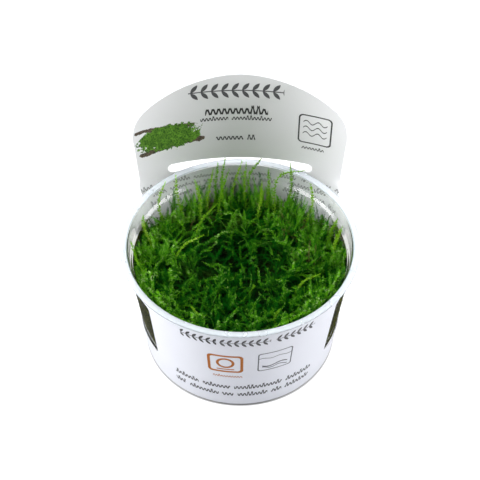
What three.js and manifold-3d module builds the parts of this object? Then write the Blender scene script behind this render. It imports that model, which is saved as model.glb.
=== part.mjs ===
// Tissue culture moss: a clear flanged cup, its printed sleeve with a tall header, and the moss inside.
// Millimetres, +Z up. The origin is the middle of the cup's foot, and -Y is the front of the label.
import * as THREE from 'three';
import { mergeVertices } from 'three/addons/utils/BufferGeometryUtils.js';
import Module from 'manifold-3d';

const wasm = await Module();
wasm.setup();

// The cup: a standard 95 mm tub with a narrow flange.
const flangeRadius = 47.5;
const flangeThickness = 1.2;
const cupHeight = 56;
const footRadius = 40;
const mouthRadius = 44.4;
const stepHeight = 48.4;
const neckRadius = mouthRadius - 1.5;
const bulgeHeight = 42;
const bulgeRadius = 43.3;
const wallThickness = 0.75;
const cupSides = 40;

// The sleeve: a sheet on a cone that clears the cup, and a flatter header behind the mouth.
const sheetThickness = 0.5;
const sleeveBottom = 1.4;
const sleeveTop = 54;
const sleeveBottomRadius = 40.9;
const sleeveTaper = 0.0987;
const sleeveSides = 56;
const headerTop = 102.4;
const headerHalfWidth = 43;
const headerArcRadius = 95;
const headerBackY = 45.9;
const flareStart = 32;
const earRise = 0.3;
const slotTop = 58.6;
const slotHalfWidth = 30.5;
const windowRightFrontY = { low: -25.2, high: -27.1 };
const windowLeftFrontY = { low: -26.3, high: -29.8 };
const windowRearY = 13;
const windowBottom = 16;
const windowTop = 50.6;
const windowCorner = 2.8;

// The moss: a cushion that fills the cup, lower along the back wall and hollow in the middle.
const clearance = 0.35;
const cushionBase = 2.2;
const cushionHeight = 43.5;
const backDrop = 6.5;
const hollowCentre = new THREE.Vector2(2, 0);
const hollowRadius = 13;
const hollowDepth = 3.5;
const cushionSides = 32;
const footDepth = 3.5;
const stemRadius = 0.75;

// Single shoots, by hand: foot on the plan, tip in space, and how far the middle bows towards +X and up.
const shoots = [
  { foot: [-32.3, 22.2], tip: [-30.7, 27.6, 61.5], bow: -2.4 },
  { foot: [-24.5, 28], tip: [-26.6, 30.9, 61.6], bow: -0.8 },
  { foot: [-17, 27], tip: [-18.7, 29.5, 60.6], bow: 1 },
  { foot: [-10.5, 36], tip: [-9.2, 40, 60.2], bow: -0.6 },
  { foot: [-6, 32.5], tip: [-6.2, 38.8, 64], bow: -1.8 },
  { foot: [-9.5, 29.5], tip: [-4.4, 34.4, 62], bow: -0.8 },
  { foot: [-4.2, 36.4], tip: [0.9, 39.4, 62], bow: -0.6 },
  { foot: [2.4, 33.5], tip: [2.7, 38, 62.5], bow: -0.6 },
  { foot: [4.8, 36.9], tip: [8.9, 40.6, 62.2], bow: -2.9, lift: 4 },
  { foot: [7.5, 28.5], tip: [9.2, 30.6, 58.5], bow: 0.5 },
  { foot: [11.5, 34.5], tip: [12, 38.3, 58.4], bow: 0.6 },
  { foot: [15, 29.5], tip: [26.8, 32.5, 62.9], bow: -4.6, lift: 11 },
  { foot: [20, 32], tip: [21, 37.8, 62.2], bow: 1.2 },
  { foot: [28, 23], tip: [28.9, 26.6, 61], bow: 1.8 },
  { foot: [36.3, 9], tip: [39.2, 10, 57.5], bow: -0.3 },
  { foot: [37.4, 2], tip: [40.6, 4.6, 58.4], bow: -0.5 },
  { foot: [-36.3, 8.5], tip: [-38.8, 10, 59.5], bow: -1.2 },
  { foot: [-36.2, -13], tip: [-42.6, -4.6, 60.4], bow: -0.8 },
  { foot: [-19, 13], tip: [-9.5, 21, 55], bow: -1.5 },
  { foot: [-26, 0], tip: [-14.5, 4.5, 54], bow: -2 },
  { foot: [22, -17], tip: [31, -15.5, 53.5], bow: -1.5 },
  { foot: [4, -17], tip: [5, -23, 56], bow: 0.8 },
  { foot: [-16, -33], tip: [-18, -34.5, 57], bow: 0.8 },
  { foot: [13, -33.5], tip: [15, -35, 56.5], bow: -0.8 },
  { foot: [-14.3, 34], tip: [-11.1, 36.4, 60.5], bow: -0.2 },
];

// Tufts, by hand: where each one stands. Its fronds fan out from one root.
const tufts = [
  [-29, 14], [1, 20], [11, 18.5], [21, 17], [29, 10.5], [31.5, -3.5], [22.5, -5], [28, -23.5], [18, -27],
  [5, -31], [-7, -27], [-25, -25.5], [-15, -19.5], [-27, -14], [-20.5, -8], [-33, -2], [14, -14.5], [-5, -13.5],
  [16, 5],
];
const tuftFronds = 3;
const frondHeight = 12.5;
const frondWidth = 4.6;
const frondThickness = 0.7;
const rootRadius = 1;

const zUp = new THREE.Matrix4().makeRotationX(Math.PI / 2);
const clamp = THREE.MathUtils.clamp;
const smooth = (value, low, high) => THREE.MathUtils.smoothstep(value, low, high);

// Joining and cutting.
function solidOf(geometry) {
  const bare = geometry.index ? geometry.toNonIndexed() : geometry.clone();
  bare.deleteAttribute('normal');
  bare.deleteAttribute('uv');
  const merged = mergeVertices(bare, 1e-4);
  const triangles = [];
  for (let i = 0; i < merged.index.count; i += 3) {
    const corners = [0, 1, 2].map((k) => merged.index.getX(i + k));
    if (new Set(corners).size === 3) triangles.push(...corners);
  }
  return new wasm.Manifold(new wasm.Mesh({
    numProp: 3,
    vertProperties: new Float32Array(merged.attributes.position.array),
    triVerts: new Uint32Array(triangles),
  }));
}

function geometryOf(solid) {
  const mesh = solid.getMesh();
  const geometry = new THREE.BufferGeometry();
  geometry.setAttribute('position', new THREE.BufferAttribute(new Float32Array(mesh.vertProperties), 3));
  geometry.setIndex(new THREE.BufferAttribute(new Uint32Array(mesh.triVerts), 1));
  const flat = geometry.toNonIndexed();
  flat.computeVertexNormals();
  return flat;
}

function named(name, geometry, material) {
  const mesh = new THREE.Mesh(geometry, material);
  mesh.name = name;
  return mesh;
}

// A closed profile of [radius, height] points, anticlockwise with the axis on the left, turned about Z.
function turned(profile, sides) {
  const points = profile.map(([radius, height]) => new THREE.Vector2(radius, height));
  return new THREE.LatheGeometry(points, sides).applyMatrix4(zUp);
}

// A flat outline in X and Z, extruded along Y between two depths.
function prismAlongY(shape, fromY, toY) {
  const geometry = new THREE.ExtrudeGeometry(shape, { depth: toY - fromY, bevelEnabled: false, curveSegments: 6 });
  return geometry.applyMatrix4(zUp).translate(0, toY, 0);
}

function movePoints(geometry, rule) {
  const position = geometry.attributes.position;
  const point = new THREE.Vector3();
  for (let i = 0; i < position.count; i++) {
    point.fromBufferAttribute(position, i);
    rule(point);
    position.setXYZ(i, point.x, point.y, point.z);
  }
  return geometry;
}

function roundedBox(x0, z0, x1, z1, corner) {
  const shape = new THREE.Shape();
  shape.moveTo(x0 + corner, z0);
  shape.lineTo(x1 - corner, z0);
  shape.absarc(x1 - corner, z0 + corner, corner, -Math.PI / 2, 0);
  shape.absarc(x1 - corner, z1 - corner, corner, 0, Math.PI / 2);
  shape.absarc(x0 + corner, z1 - corner, corner, Math.PI / 2, Math.PI);
  shape.absarc(x0 + corner, z0 + corner, corner, Math.PI, Math.PI * 1.5);
  return shape;
}

// The cup's inner wall, which the moss follows with a small gap: it widens upwards, then draws in to a neck.
function innerRadius(z) {
  const floorRadius = footRadius - 0.6;
  const widened = floorRadius + (bulgeRadius - floorRadius) * clamp(z / bulgeHeight, 0, 1);
  return widened - (bulgeRadius - neckRadius) * clamp((z - bulgeHeight) / (stepHeight - 0.5 - bulgeHeight), 0, 1);
}

function cupProfile() {
  const flangeUnder = cupHeight - flangeThickness;
  return [
    [0, 1],
    [footRadius - 2.4, 1],
    [footRadius - 1.8, 0],
    [footRadius - 0.5, 0],
    [footRadius, 0.6],
    [bulgeRadius + wallThickness, bulgeHeight],
    [neckRadius + wallThickness, stepHeight - 1],
    [mouthRadius + 0.35, stepHeight + 0.2],
    [mouthRadius + 0.65, flangeUnder],
    [flangeRadius - 0.3, flangeUnder],
    [flangeRadius, flangeUnder + 0.3],
    [flangeRadius, cupHeight - 0.3],
    [flangeRadius - 0.3, cupHeight],
    [mouthRadius + 1.5, cupHeight],
    [mouthRadius + 0.5, cupHeight - 0.5],
    [mouthRadius, cupHeight - 1.6],
    [mouthRadius - 0.35, stepHeight + 1],
    [neckRadius + 0.25, stepHeight + 0.2],
    [neckRadius, stepHeight - 0.5],
    [bulgeRadius, bulgeHeight],
    [innerRadius(2.8), 2.8],
    [innerRadius(2) - 1.2, 1.8],
    [0, 1.8],
  ];
}

// How far out the sheet stands at an angle from the back: a cone below, blending into the header's arc.
function sleeveRadius(angle, z) {
  const cone = sleeveBottomRadius + (Math.min(z, sleeveTop) - sleeveBottom) * sleeveTaper;
  const arcCentreY = headerBackY - headerArcRadius;
  const cosine = Math.cos(angle);
  const reach = headerArcRadius ** 2 - arcCentreY ** 2 * (1 - cosine ** 2);
  const header = arcCentreY * cosine + Math.sqrt(Math.max(reach, 0));
  const sideways = z > sleeveTop + earRise ? 1 : 1 - smooth(Math.abs(angle), 0.86, 1.05);
  return cone + (header - cone) * sideways * smooth(z, flareStart, sleeveTop);
}

function headerOutline() {
  const low = sleeveTop - 2;
  const half = [
    [headerHalfWidth, 72],
    [headerHalfWidth + 0.2, 79],
    [41, 86.4],
    [35, 92],
    [20.8, 98.7],
  ];
  const shape = new THREE.Shape();
  shape.moveTo(-headerHalfWidth + 0.8, low);
  shape.lineTo(headerHalfWidth - 0.8, low);
  shape.lineTo(...half[0]);
  const curve = [...half.slice(1), [0, headerTop], ...half.map(([x, z]) => [-x, z]).reverse()];
  shape.splineThru(curve.map(([x, z]) => new THREE.Vector2(x, z)));
  shape.closePath();
  return shape;
}

// A side window between two depths: its front edge leans forward as the cone widens.
function windowPrism(front, fromX, toX) {
  const shape = roundedBox(front.low, windowBottom, windowRearY, windowTop, windowCorner);
  return movePoints(prismAlongY(shape, -toX, -fromX).rotateZ(Math.PI / 2), (p) => {
    const height = (p.z - windowBottom) / (windowTop - windowBottom);
    const forward = (windowRearY - p.y) / (windowRearY - front.low);
    p.y += (front.high - front.low) * height * forward;
  });
}

function labelSleeve() {
  const heights = [sleeveBottom, flareStart, 40, 47.5, sleeveTop + earRise, slotTop, headerTop + 2];
  const outer = heights.map((z) => [1, z]);
  const inner = heights.map((z) => [0.5, z]).reverse();
  const ring = turned([...outer, ...inner, outer[0]], sleeveSides);
  movePoints(ring, (p) => {
    const inside = Math.hypot(p.x, p.y) < 0.75;
    const angle = Math.atan2(p.x, p.y);
    const radius = sleeveRadius(angle, p.z) - (inside ? sheetThickness : 0);
    p.x = radius * Math.sin(angle);
    p.y = radius * Math.cos(angle);
  });
  const band = new THREE.BoxGeometry(130, 130, sleeveTop).translate(0, 0, sleeveTop / 2);
  const header = prismAlongY(headerOutline(), 33, 65);
  const kept = solidOf(band).add(solidOf(header));
  const slotShape = roundedBox(-slotHalfWidth, sleeveTop, slotHalfWidth, slotTop, 2.2);
  const slot = solidOf(prismAlongY(slotShape, 20, 65));
  const rightWindow = solidOf(windowPrism(windowRightFrontY, 0, 60));
  const leftWindow = solidOf(windowPrism(windowLeftFrontY, -60, 0));
  return geometryOf(solidOf(ring).intersect(kept).subtract(slot).subtract(rightWindow).subtract(leftWindow));
}

// The top of the cushion: lower at the back, hollow in the middle, and lumpy all over.
function cushionTop(x, y) {
  const back = backDrop * smooth(y, 0, 36);
  const middle = Math.hypot(x - hollowCentre.x, y - hollowCentre.y) / hollowRadius;
  const hollow = hollowDepth * Math.exp(-(middle ** 2));
  const lumps = 1.1 * Math.sin(0.52 * x + 0.9) * Math.cos(0.46 * y + 1.3) + 0.6 * Math.sin(0.9 * x - 0.7 * y);
  return cushionHeight - back - hollow + lumps;
}

// A tapered stem along a curve; the beads along it are the leaf pairs.
function stemAlong(curve, radius, sides, steps) {
  const geometry = new THREE.CylinderGeometry(0.3, 1, 1, sides, steps).translate(0, 0.5, 0);
  const frames = curve.computeFrenetFrames(steps, false);
  return movePoints(geometry, (p) => {
    const step = Math.round(p.y * steps);
    const centre = curve.getPointAt(step / steps);
    const girth = radius * (step % 2 === 0 ? 0.8 : 1.25);
    const across = frames.normals[step].clone().multiplyScalar(p.x * girth);
    const along = frames.binormals[step].clone().multiplyScalar(-p.z * girth);
    p.copy(centre).add(across).add(along);
  });
}

function shootCurve({ foot, tip, bow, lift = 1 }) {
  const ground = cushionTop(foot[0], foot[1]);
  const top = new THREE.Vector3(...tip);
  const low = new THREE.Vector3(foot[0], foot[1], ground - footDepth);
  const knee = new THREE.Vector3(foot[0], foot[1], ground + 1);
  const middle = knee.clone().lerp(top, 0.5).add(new THREE.Vector3(bow, 0, lift));
  return new THREE.CatmullRomCurve3([low, knee, middle, top], false, 'centripetal');
}

// Each shoot and tuft stands in a pocket of its own in the cushion.
function pocketAt([x, y], radius) {
  const ground = cushionTop(x, y);
  const depth = footDepth + clearance + 4;
  const pocket = new THREE.CylinderGeometry(radius + 0.8, radius + 0.8, depth, 4).applyMatrix4(zUp);
  return solidOf(pocket.translate(x, y, ground - footDepth - clearance + depth / 2));
}

// A frond is flat and fir-shaped: narrow at its foot, a wide tier, and a point.
function frond(height) {
  const half = [[0.07, 0], [0.5, 0.45], [0.26, 0.52]];
  const outline = [...half, [0, 1], ...half.map(([across, up]) => [-across, up]).reverse()];
  const shape = new THREE.Shape(outline.map(([across, up]) => new THREE.Vector2(across * frondWidth, up * height)));
  return prismAlongY(shape, -frondThickness / 2, frondThickness / 2);
}

function tuftSolid([x, y], index) {
  const ground = cushionTop(x, y);
  const root = new THREE.CylinderGeometry(rootRadius, rootRadius, footDepth + 2, 4).applyMatrix4(zUp);
  let solid = solidOf(root.rotateZ(index).translate(0, 0, (2 - footDepth) / 2));
  for (let i = 0; i < tuftFronds; i++) {
    const height = frondHeight * (0.85 + 0.15 * Math.sin(index * 2.3 + i * 1.7));
    const turn = ((i + 0.2 * Math.sin(index * 1.9 + i)) / tuftFronds) * Math.PI * 2 + index;
    const lean = 0.3 + 0.1 * Math.sin(index + i * 2.1);
    const plate = frond(height).rotateX(-lean).translate(0, rootRadius / 2, 1).rotateZ(turn);
    solid = solid.add(solidOf(plate));
  }
  return geometryOf(solid.translate(x, y, ground));
}

function mossCushion() {
  const wall = [cushionBase + 1, 18, 34].map((z) => [innerRadius(z) - clearance, z]);
  const cover = [0.96, 0.86, 0.72, 0.56, 0.4, 0.24].map((part) => [part * (innerRadius(40) - clearance), 100]);
  const profile = [[0, cushionBase], [innerRadius(2) - 1.8, cushionBase], ...wall, ...cover, [0, 100]];
  const body = movePoints(turned(profile, cushionSides), (p) => {
    if (p.z > 50) p.z = cushionTop(p.x, p.y);
  });
  let solid = solidOf(body);
  shoots.forEach(({ foot }) => {
    solid = solid.subtract(pocketAt(foot, stemRadius));
  });
  tufts.forEach((place) => {
    solid = solid.subtract(pocketAt(place, rootRadius));
  });
  return geometryOf(solid);
}

function numbered(stem, index) {
  return `${stem}_${String(index + 1).padStart(2, '0')}`;
}

const clearPlastic = new THREE.MeshStandardMaterial({
  color: 0xf4f6f5, roughness: 0.12, metalness: 0, transparent: true, opacity: 0.35,
});
const printedSheet = new THREE.MeshStandardMaterial({ color: 0xe9e9ee, roughness: 0.55, metalness: 0 });
const mossGreen = new THREE.MeshStandardMaterial({ color: 0x2f6b16, roughness: 0.8, metalness: 0 });
const shootGreen = new THREE.MeshStandardMaterial({ color: 0x5c9a22, roughness: 0.75, metalness: 0 });

const tub = new THREE.Group();
tub.add(named('cup', turned(cupProfile(), cupSides), clearPlastic));
tub.add(named('label_sleeve', labelSleeve(), printedSheet));
tub.add(named('moss_cushion', mossCushion(), mossGreen));
tufts.forEach((place, index) => {
  tub.add(named(numbered('moss_tuft', index), tuftSolid(place, index), mossGreen));
});
shoots.forEach((shoot, index) => {
  const stem = stemAlong(shootCurve(shoot), stemRadius, 3, 8);
  tub.add(named(numbered('moss_shoot', index), stem, shootGreen));
});

export default tub;
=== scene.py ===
import math

import bpy
import numpy as np
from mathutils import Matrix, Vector, noise


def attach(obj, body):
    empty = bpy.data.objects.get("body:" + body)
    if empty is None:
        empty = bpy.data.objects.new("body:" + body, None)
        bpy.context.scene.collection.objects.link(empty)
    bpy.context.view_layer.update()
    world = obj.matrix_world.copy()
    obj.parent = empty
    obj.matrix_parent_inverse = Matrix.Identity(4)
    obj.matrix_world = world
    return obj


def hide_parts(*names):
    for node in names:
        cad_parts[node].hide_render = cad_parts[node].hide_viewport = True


# A tub of tissue culture moss: clear cup, printed sleeve with a tall header, and the living moss inside.
# Lengths in the dictionaries are millimetres, and mm turns them into Blender's metres.
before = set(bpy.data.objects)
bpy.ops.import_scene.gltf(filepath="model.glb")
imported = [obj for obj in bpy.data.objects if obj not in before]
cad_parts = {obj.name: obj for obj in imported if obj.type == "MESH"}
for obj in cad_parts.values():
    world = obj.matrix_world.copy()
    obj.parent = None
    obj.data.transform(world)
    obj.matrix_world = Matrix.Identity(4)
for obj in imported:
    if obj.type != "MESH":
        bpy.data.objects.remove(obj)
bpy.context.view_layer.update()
mm = 0.001
fullTurn = 2 * math.pi
body = "root"

camera = {
    "targetHeight": 54.4,
    "distance": 374,
    "elevation": 47.6,  # degrees above the horizon
    "lens": 70.7,
    "liftShare": 0.0054,  # of the picture's height
    "nearest": 10,
}

studio = {
    "floorSize": 6000,
    "floorColor": (0.46, 0.46, 0.47),
    "floorMirrored": (0.09, 0.09, 0.07),  # keeps the floor's glare off the clear wall
    "floorGlow": 0.75,  # lifts the paper to white where it is looked at
    "shadeRadius": (40.6, 41.4),  # no glow under the tub, where its own shade falls
    "darkSide": 0.55,  # light that comes from the side of the camera, against 1 from all round
    "darkTurn": (-0.95, -0.1),  # where that side ends, along the sky's Y
    "skyStrength": 0.5,
    "lamps": [(-520, -60, 420, 5.6), (540, -40, 380, 4.4), (-60, 120, 760, 1.6)],  # place and watts
    "lampSize": 420,
    "lampAim": 45,  # height that the lamps look at
}

cup = {
    "flangeRadius": 47.5,
    "flangeThickness": 1.2,
    "flangeEdge": 0.3,
    "height": 56,
    "footRadius": 40,
    "footRing": (0.5, 1.8, 2.4),  # it starts, ends and meets the floor this far inside the foot's radius
    "floor": (1, 1.8),  # underside and top
    "wallFrom": 0.6,
    "innerCorner": (2.8, 1.2),  # height and width of the slope between floor and wall
    "innerFoot": 0.6,
    "innerFootHeight": 2,
    "mouthRadius": 44.4,
    "mouthDraft": 0.35,
    "mouthWall": 0.65,
    "lip": ((1.5, 0), (0.5, 0.5), (0, 1.6)),  # its rounding, out from the mouth and down from the top
    "stepHeight": 48.4,
    "stepSlope": 1,  # the wall turns into the step and out of it over this height
    "stepRise": 0.2,
    "stepLip": 0.25,
    "neckDrop": 0.5,  # the neck is narrowest this far below the step
    "neckRadius": 42.9,
    "bulgeHeight": 42,
    "bulgeRadius": 43.3,
    "wall": 0.75,
    "steps": 144,
    "edgeRound": 0.22,
    "sharpAngle": 28,
    "smoothAngle": 32,
    "milkyFrom": 53.9,  # the thicker rim lets less light through, but for the rounded lip inside it
    "milkyRadius": 45.45,
    "lipShadeLine": (44.78, 45.05),  # painted shade: the corner of the lip is coloured as a thin darker line
    "lineGap": 14,  # but not in the middle of the back
    "plastics": {  # how clear each is, its colour, and the range of its roughness
        "clear_plastic": (1.0, (0.965, 0.975, 0.97), (0.05, 0.12)),
        "milky_flange": (0.6, (0.82, 0.865, 0.92), (0.2, 0.3)),
        "lip_shade_line": (0.6, (0.5, 0.58, 0.57), (0.15, 0.25)),
    },
}

sleeve = {
    "thickness": 0.5,
    "bottom": 1.4,
    "top": 54,
    "bottomRadius": 40.9,
    "taper": 0.0987,
    "sides": 192,
    "rowGap": 3.6,
    "cutReach": 65,  # the cutting shapes end this far from the middle
    "headerTop": 102.4,
    "headerHalfWidth": 43,
    "headerShoulder": 0.8,  # how much narrower the header starts
    "headerSide": [(43, 72), (43.2, 79), (41, 86.4), (35, 92), (20.8, 98.7)],
    "headerFrom": 33,  # along Y
    "headerArcRadius": 95,
    "headerBack": 45.9,
    "flareStart": 32,
    "flareAngles": (0.86, 1.05),  # in radians from the back, where the flare fades out
    "slotTop": 58.6,
    "slotHalfWidth": 30.5,
    "slotCorner": 2.2,
    "slotFrom": 20,  # along Y
    "windowFronts": [(-26.3, -29.8), (-25.2, -27.1)],  # at the foot and the head, left and right
    "windowRear": 13,
    "windowBottom": 16,
    "windowTop": 50.6,
    "windowCorner": 2.8,
    "smoothAngle": 25,
}


def deselectAll():
    if bpy.context.object and bpy.context.object.mode != "OBJECT":
        bpy.ops.object.mode_set(mode="OBJECT")
    bpy.ops.object.select_all(action="DESELECT")


def pick(piece):
    deselectAll()
    piece.select_set(True)
    bpy.context.view_layer.objects.active = piece
    return piece


def applyModifier(piece, kind, **settings):
    pick(piece)
    modifier = piece.modifiers.new(kind.title(), kind)
    for name, value in settings.items():
        setattr(modifier, name, value)
    bpy.ops.object.modifier_apply(modifier=modifier.name)


def settle(piece, slot, *nodes):
    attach(piece, body)
    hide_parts(*nodes)


# Small curve helpers.
def smooth(value, low, high):
    share = np.clip((value - low) / (high - low), 0, 1)
    return share * share * (3 - 2 * share)


def splinePoints(points, steps):
    # a centripetal spline through the points, with steps to each stretch
    points = np.array(points, float)
    before = 2 * points[0] - points[1]
    after = 2 * points[-1] - points[-2]
    chain = np.vstack([before, points, after])
    drawn = [points[0]]
    for i in range(len(points) - 1):
        p = chain[i:i + 4]
        gaps = np.sqrt(np.linalg.norm(np.diff(p, axis=0), axis=1))
        t = np.concatenate([[0], np.cumsum(gaps)])
        for at in np.linspace(t[1], t[2], steps + 1)[1:]:
            near = [lerp(p[k], p[k + 1], t[k], t[k + 1], at) for k in range(3)]
            mid = [lerp(near[k], near[k + 1], t[k], t[k + 2], at) for k in range(2)]
            drawn.append(lerp(mid[0], mid[1], t[1], t[2], at))
    return np.array(drawn)


def lerp(first, second, start, end, at):
    share = (at - start) / (end - start)
    return first * (1 - share) + second * share


# Camera, floor and light.
def makeCamera():
    tilt = math.radians(camera["elevation"])
    away = camera["distance"] * mm
    place = (0, -away * math.cos(tilt), camera["targetHeight"] * mm + away * math.sin(tilt))
    bpy.ops.object.camera_add(location=place, rotation=(math.pi / 2 - tilt, 0, 0))
    lens = bpy.context.object
    lens.data.lens = camera["lens"]
    lens.data.shift_y = camera["liftShare"]
    lens.data.clip_start = camera["nearest"] * mm
    bpy.context.scene.camera = lens


def addNode(tree, kind, inputs=None, **settings):
    node = tree.nodes.new(kind)
    for name, value in settings.items():
        setattr(node, name, value)
    for key, value in (inputs or {}).items():
        if isinstance(value, bpy.types.NodeSocket):
            tree.links.new(value, node.inputs[key])
        else:
            node.inputs[key].default_value = value
    return node


def calc(tree, operation, *values, clamp=False):
    inputs = dict(enumerate(values))
    return addNode(tree, "ShaderNodeMath", inputs, operation=operation, use_clamp=clamp).outputs[0]


def times(tree, product, *factors):
    for factor in factors:
        product = calc(tree, "MULTIPLY", product, factor)
    return product


def below(tree, value, limit):
    return calc(tree, "LESS_THAN", value, limit)


def gapTo(tree, value, centre):
    return calc(tree, "ABSOLUTE", calc(tree, "SUBTRACT", value, centre))


def vectorCalc(tree, operation, *values):
    node = addNode(tree, "ShaderNodeVectorMath", dict(enumerate(values)), operation=operation)
    return node.outputs["Value" if operation == "LENGTH" else "Vector"]


def remap(tree, value, low, high, start=0.0, end=1.0):
    inputs = {0: value, 1: low, 2: high, 3: start, 4: end}
    return addNode(tree, "ShaderNodeMapRange", inputs).outputs[0]


def blendColors(tree, share, first, second):
    colors = {6: first, 7: second}
    inputs = {key: (*color, 1) if isinstance(color, tuple) else color for key, color in colors.items()}
    return addNode(tree, "ShaderNodeMix", {"Factor": share, **inputs}, data_type="RGBA").outputs[2]


def noiseAt(tree, place, scale, detail=2.0, roughness=0.5):
    inputs = {"Vector": place, "Scale": scale, "Detail": detail, "Roughness": roughness}
    return addNode(tree, "ShaderNodeTexNoise", inputs).outputs["Fac"]


def addBump(tree, shader, height, strength, depth):
    inputs = {"Height": height, "Strength": strength, "Distance": depth * mm}
    bump = addNode(tree, "ShaderNodeBump", inputs)
    tree.links.new(bump.outputs[0], shader.inputs["Normal"])


def splitPlace(tree, place):
    axes = addNode(tree, "ShaderNodeSeparateXYZ", {"Vector": place}).outputs
    return axes["X"], axes["Y"], axes["Z"]


def joinPlace(tree, x, y):
    return addNode(tree, "ShaderNodeCombineXYZ", {"X": x, "Y": y}).outputs[0]


def newMaterial(name, **sockets):
    material = bpy.data.materials.new(name)
    material.use_nodes = True
    tree = material.node_tree
    shader = tree.nodes["Principled BSDF"]
    for socket, value in sockets.items():
        shader.inputs[socket.replace("_", " ")].default_value = value
    return material, tree, shader


def millimetrePlace(tree):
    coordinates = addNode(tree, "ShaderNodeTexCoord").outputs["Object"]
    scaled = addNode(tree, "ShaderNodeVectorMath", {0: coordinates, "Scale": 1 / mm}, operation="SCALE")
    return scaled.outputs["Vector"]


def lookedAt(tree):
    # 1 where the studio is looked at, straight or through the plastic, and 0 where it only lights
    path = addNode(tree, "ShaderNodeLightPath").outputs
    return calc(tree, "MAXIMUM", path["Is Camera Ray"], path["Is Transmission Ray"])


def makeSky(scene):
    world = bpy.data.worlds.new("studio")
    world.use_nodes = True
    scene.world = world
    tree = world.node_tree
    direction = addNode(tree, "ShaderNodeTexCoord").outputs["Generated"]
    turned = remap(tree, splitPlace(tree, direction)[1], *studio["darkTurn"], studio["darkSide"], 1.0)
    strength = calc(tree, "MAXIMUM", times(tree, turned, studio["skyStrength"]), lookedAt(tree))
    background = tree.nodes["Background"]
    tree.links.new(strength, background.inputs["Strength"])
    background.inputs["Color"].default_value = (1, 1, 1, 1)


def makeStudio():
    bpy.context.scene.view_settings.view_transform = "Standard"
    makeSky(bpy.context.scene)
    deselectAll()
    bpy.ops.mesh.primitive_plane_add(size=studio["floorSize"] * mm)
    floor = bpy.context.object
    floor.name = "floor"
    paper, tree, shader = newMaterial("floor_paper", Roughness=0.8, Specular_IOR_Level=0.0)
    away = vectorCalc(tree, "LENGTH", millimetrePlace(tree))
    unshaded = remap(tree, away, *studio["shadeRadius"], 0.0, studio["floorGlow"])
    tree.links.new(times(tree, lookedAt(tree), unshaded), shader.inputs["Emission Strength"])
    shader.inputs["Emission Color"].default_value = (1, 1, 1, 1)
    mirrored = addNode(tree, "ShaderNodeLightPath").outputs["Is Glossy Ray"]
    tone = blendColors(tree, mirrored, studio["floorColor"], studio["floorMirrored"])
    tree.links.new(tone, shader.inputs["Base Color"])
    floor.data.materials.append(paper)
    for x, y, z, watts in studio["lamps"]:
        place = Vector((x, y, z)) * mm
        aim = (Vector((0, 0, studio["lampAim"] * mm)) - place).to_track_quat("-Z", "Y")
        bpy.ops.object.light_add(type="AREA", location=place, rotation=aim.to_euler())
        lamp = bpy.context.object.data
        lamp.energy = watts
        lamp.size = studio["lampSize"] * mm
    print("studio", len(studio["lamps"]), "lamps")


# A profile drawn point by point in the XZ plane and spun about Z, as on a lathe.
def turnProfile(name, profile, steps):
    deselectAll()
    startRadius, startHeight = profile[0]
    bpy.ops.mesh.primitive_plane_add(size=mm, location=(startRadius * mm, 0, startHeight * mm))
    piece = bpy.context.object
    piece.name = name
    bpy.ops.object.transform_apply(location=True, rotation=False, scale=False)
    bpy.ops.object.mode_set(mode="EDIT")
    bpy.ops.mesh.select_all(action="SELECT")
    bpy.ops.mesh.merge(type="CENTER")
    for (r0, z0), (r1, z1) in zip(profile, profile[1:]):
        step = ((r1 - r0) * mm, 0, (z1 - z0) * mm)
        bpy.ops.mesh.extrude_vertices_move(TRANSFORM_OT_translate={"value": step})
    bpy.ops.mesh.select_all(action="SELECT")
    bpy.ops.mesh.spin(steps=steps, angle=fullTurn, center=(0, 0, 0), axis=(0, 0, 1))
    bpy.ops.mesh.select_all(action="SELECT")
    bpy.ops.mesh.remove_doubles(threshold=mm / 1000)
    bpy.ops.mesh.normals_make_consistent(inside=False)
    bpy.ops.object.mode_set(mode="OBJECT")
    return piece


def innerRadius(z):
    # the wall widens upwards, then draws in to a neck below the step
    floorRadius, bulge = cup["footRadius"] - cup["innerFoot"], cup["bulgeRadius"]
    widened = floorRadius + (bulge - floorRadius) * np.clip(z / cup["bulgeHeight"], 0, 1)
    neckRise = cup["stepHeight"] - cup["neckDrop"] - cup["bulgeHeight"]
    return widened - (bulge - cup["neckRadius"]) * np.clip((z - cup["bulgeHeight"]) / neckRise, 0, 1)


def cupProfile():
    foot, mouth, step = cup["footRadius"], cup["mouthRadius"], cup["stepHeight"]
    flange, top, edge = cup["flangeRadius"], cup["height"], cup["flangeEdge"]
    under = top - cup["flangeThickness"]
    neck, bulge, bulgeHeight = cup["neckRadius"], cup["bulgeRadius"], cup["bulgeHeight"]
    wall = cup["wall"]
    ringStart, ringEnd, ringRoot = cup["footRing"]
    floorUnder, floorTop = cup["floor"]
    cornerHeight, cornerWidth = cup["innerCorner"]
    slope, ledge = cup["stepSlope"], step + cup["stepRise"]
    return [
        (0, floorUnder),
        (foot - ringRoot, floorUnder),
        (foot - ringEnd, 0),
        (foot - ringStart, 0),
        (foot, cup["wallFrom"]),
        (bulge + wall, bulgeHeight),
        (neck + wall, step - slope),
        (mouth + cup["mouthDraft"], ledge),
        (mouth + cup["mouthWall"], under),
        (flange - edge, under),
        (flange, under + edge),
        (flange, top - edge),
        (flange - edge, top),
        *[(mouth + out, top - down) for out, down in cup["lip"]],
        (mouth - cup["mouthDraft"], step + slope),
        (neck + cup["stepLip"], ledge),
        (neck, step - cup["neckDrop"]),
        (bulge, bulgeHeight),
        (innerRadius(cornerHeight), cornerHeight),
        (innerRadius(cup["innerFootHeight"]) - cornerWidth, floorTop),
        (0, floorTop),
    ]


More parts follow.
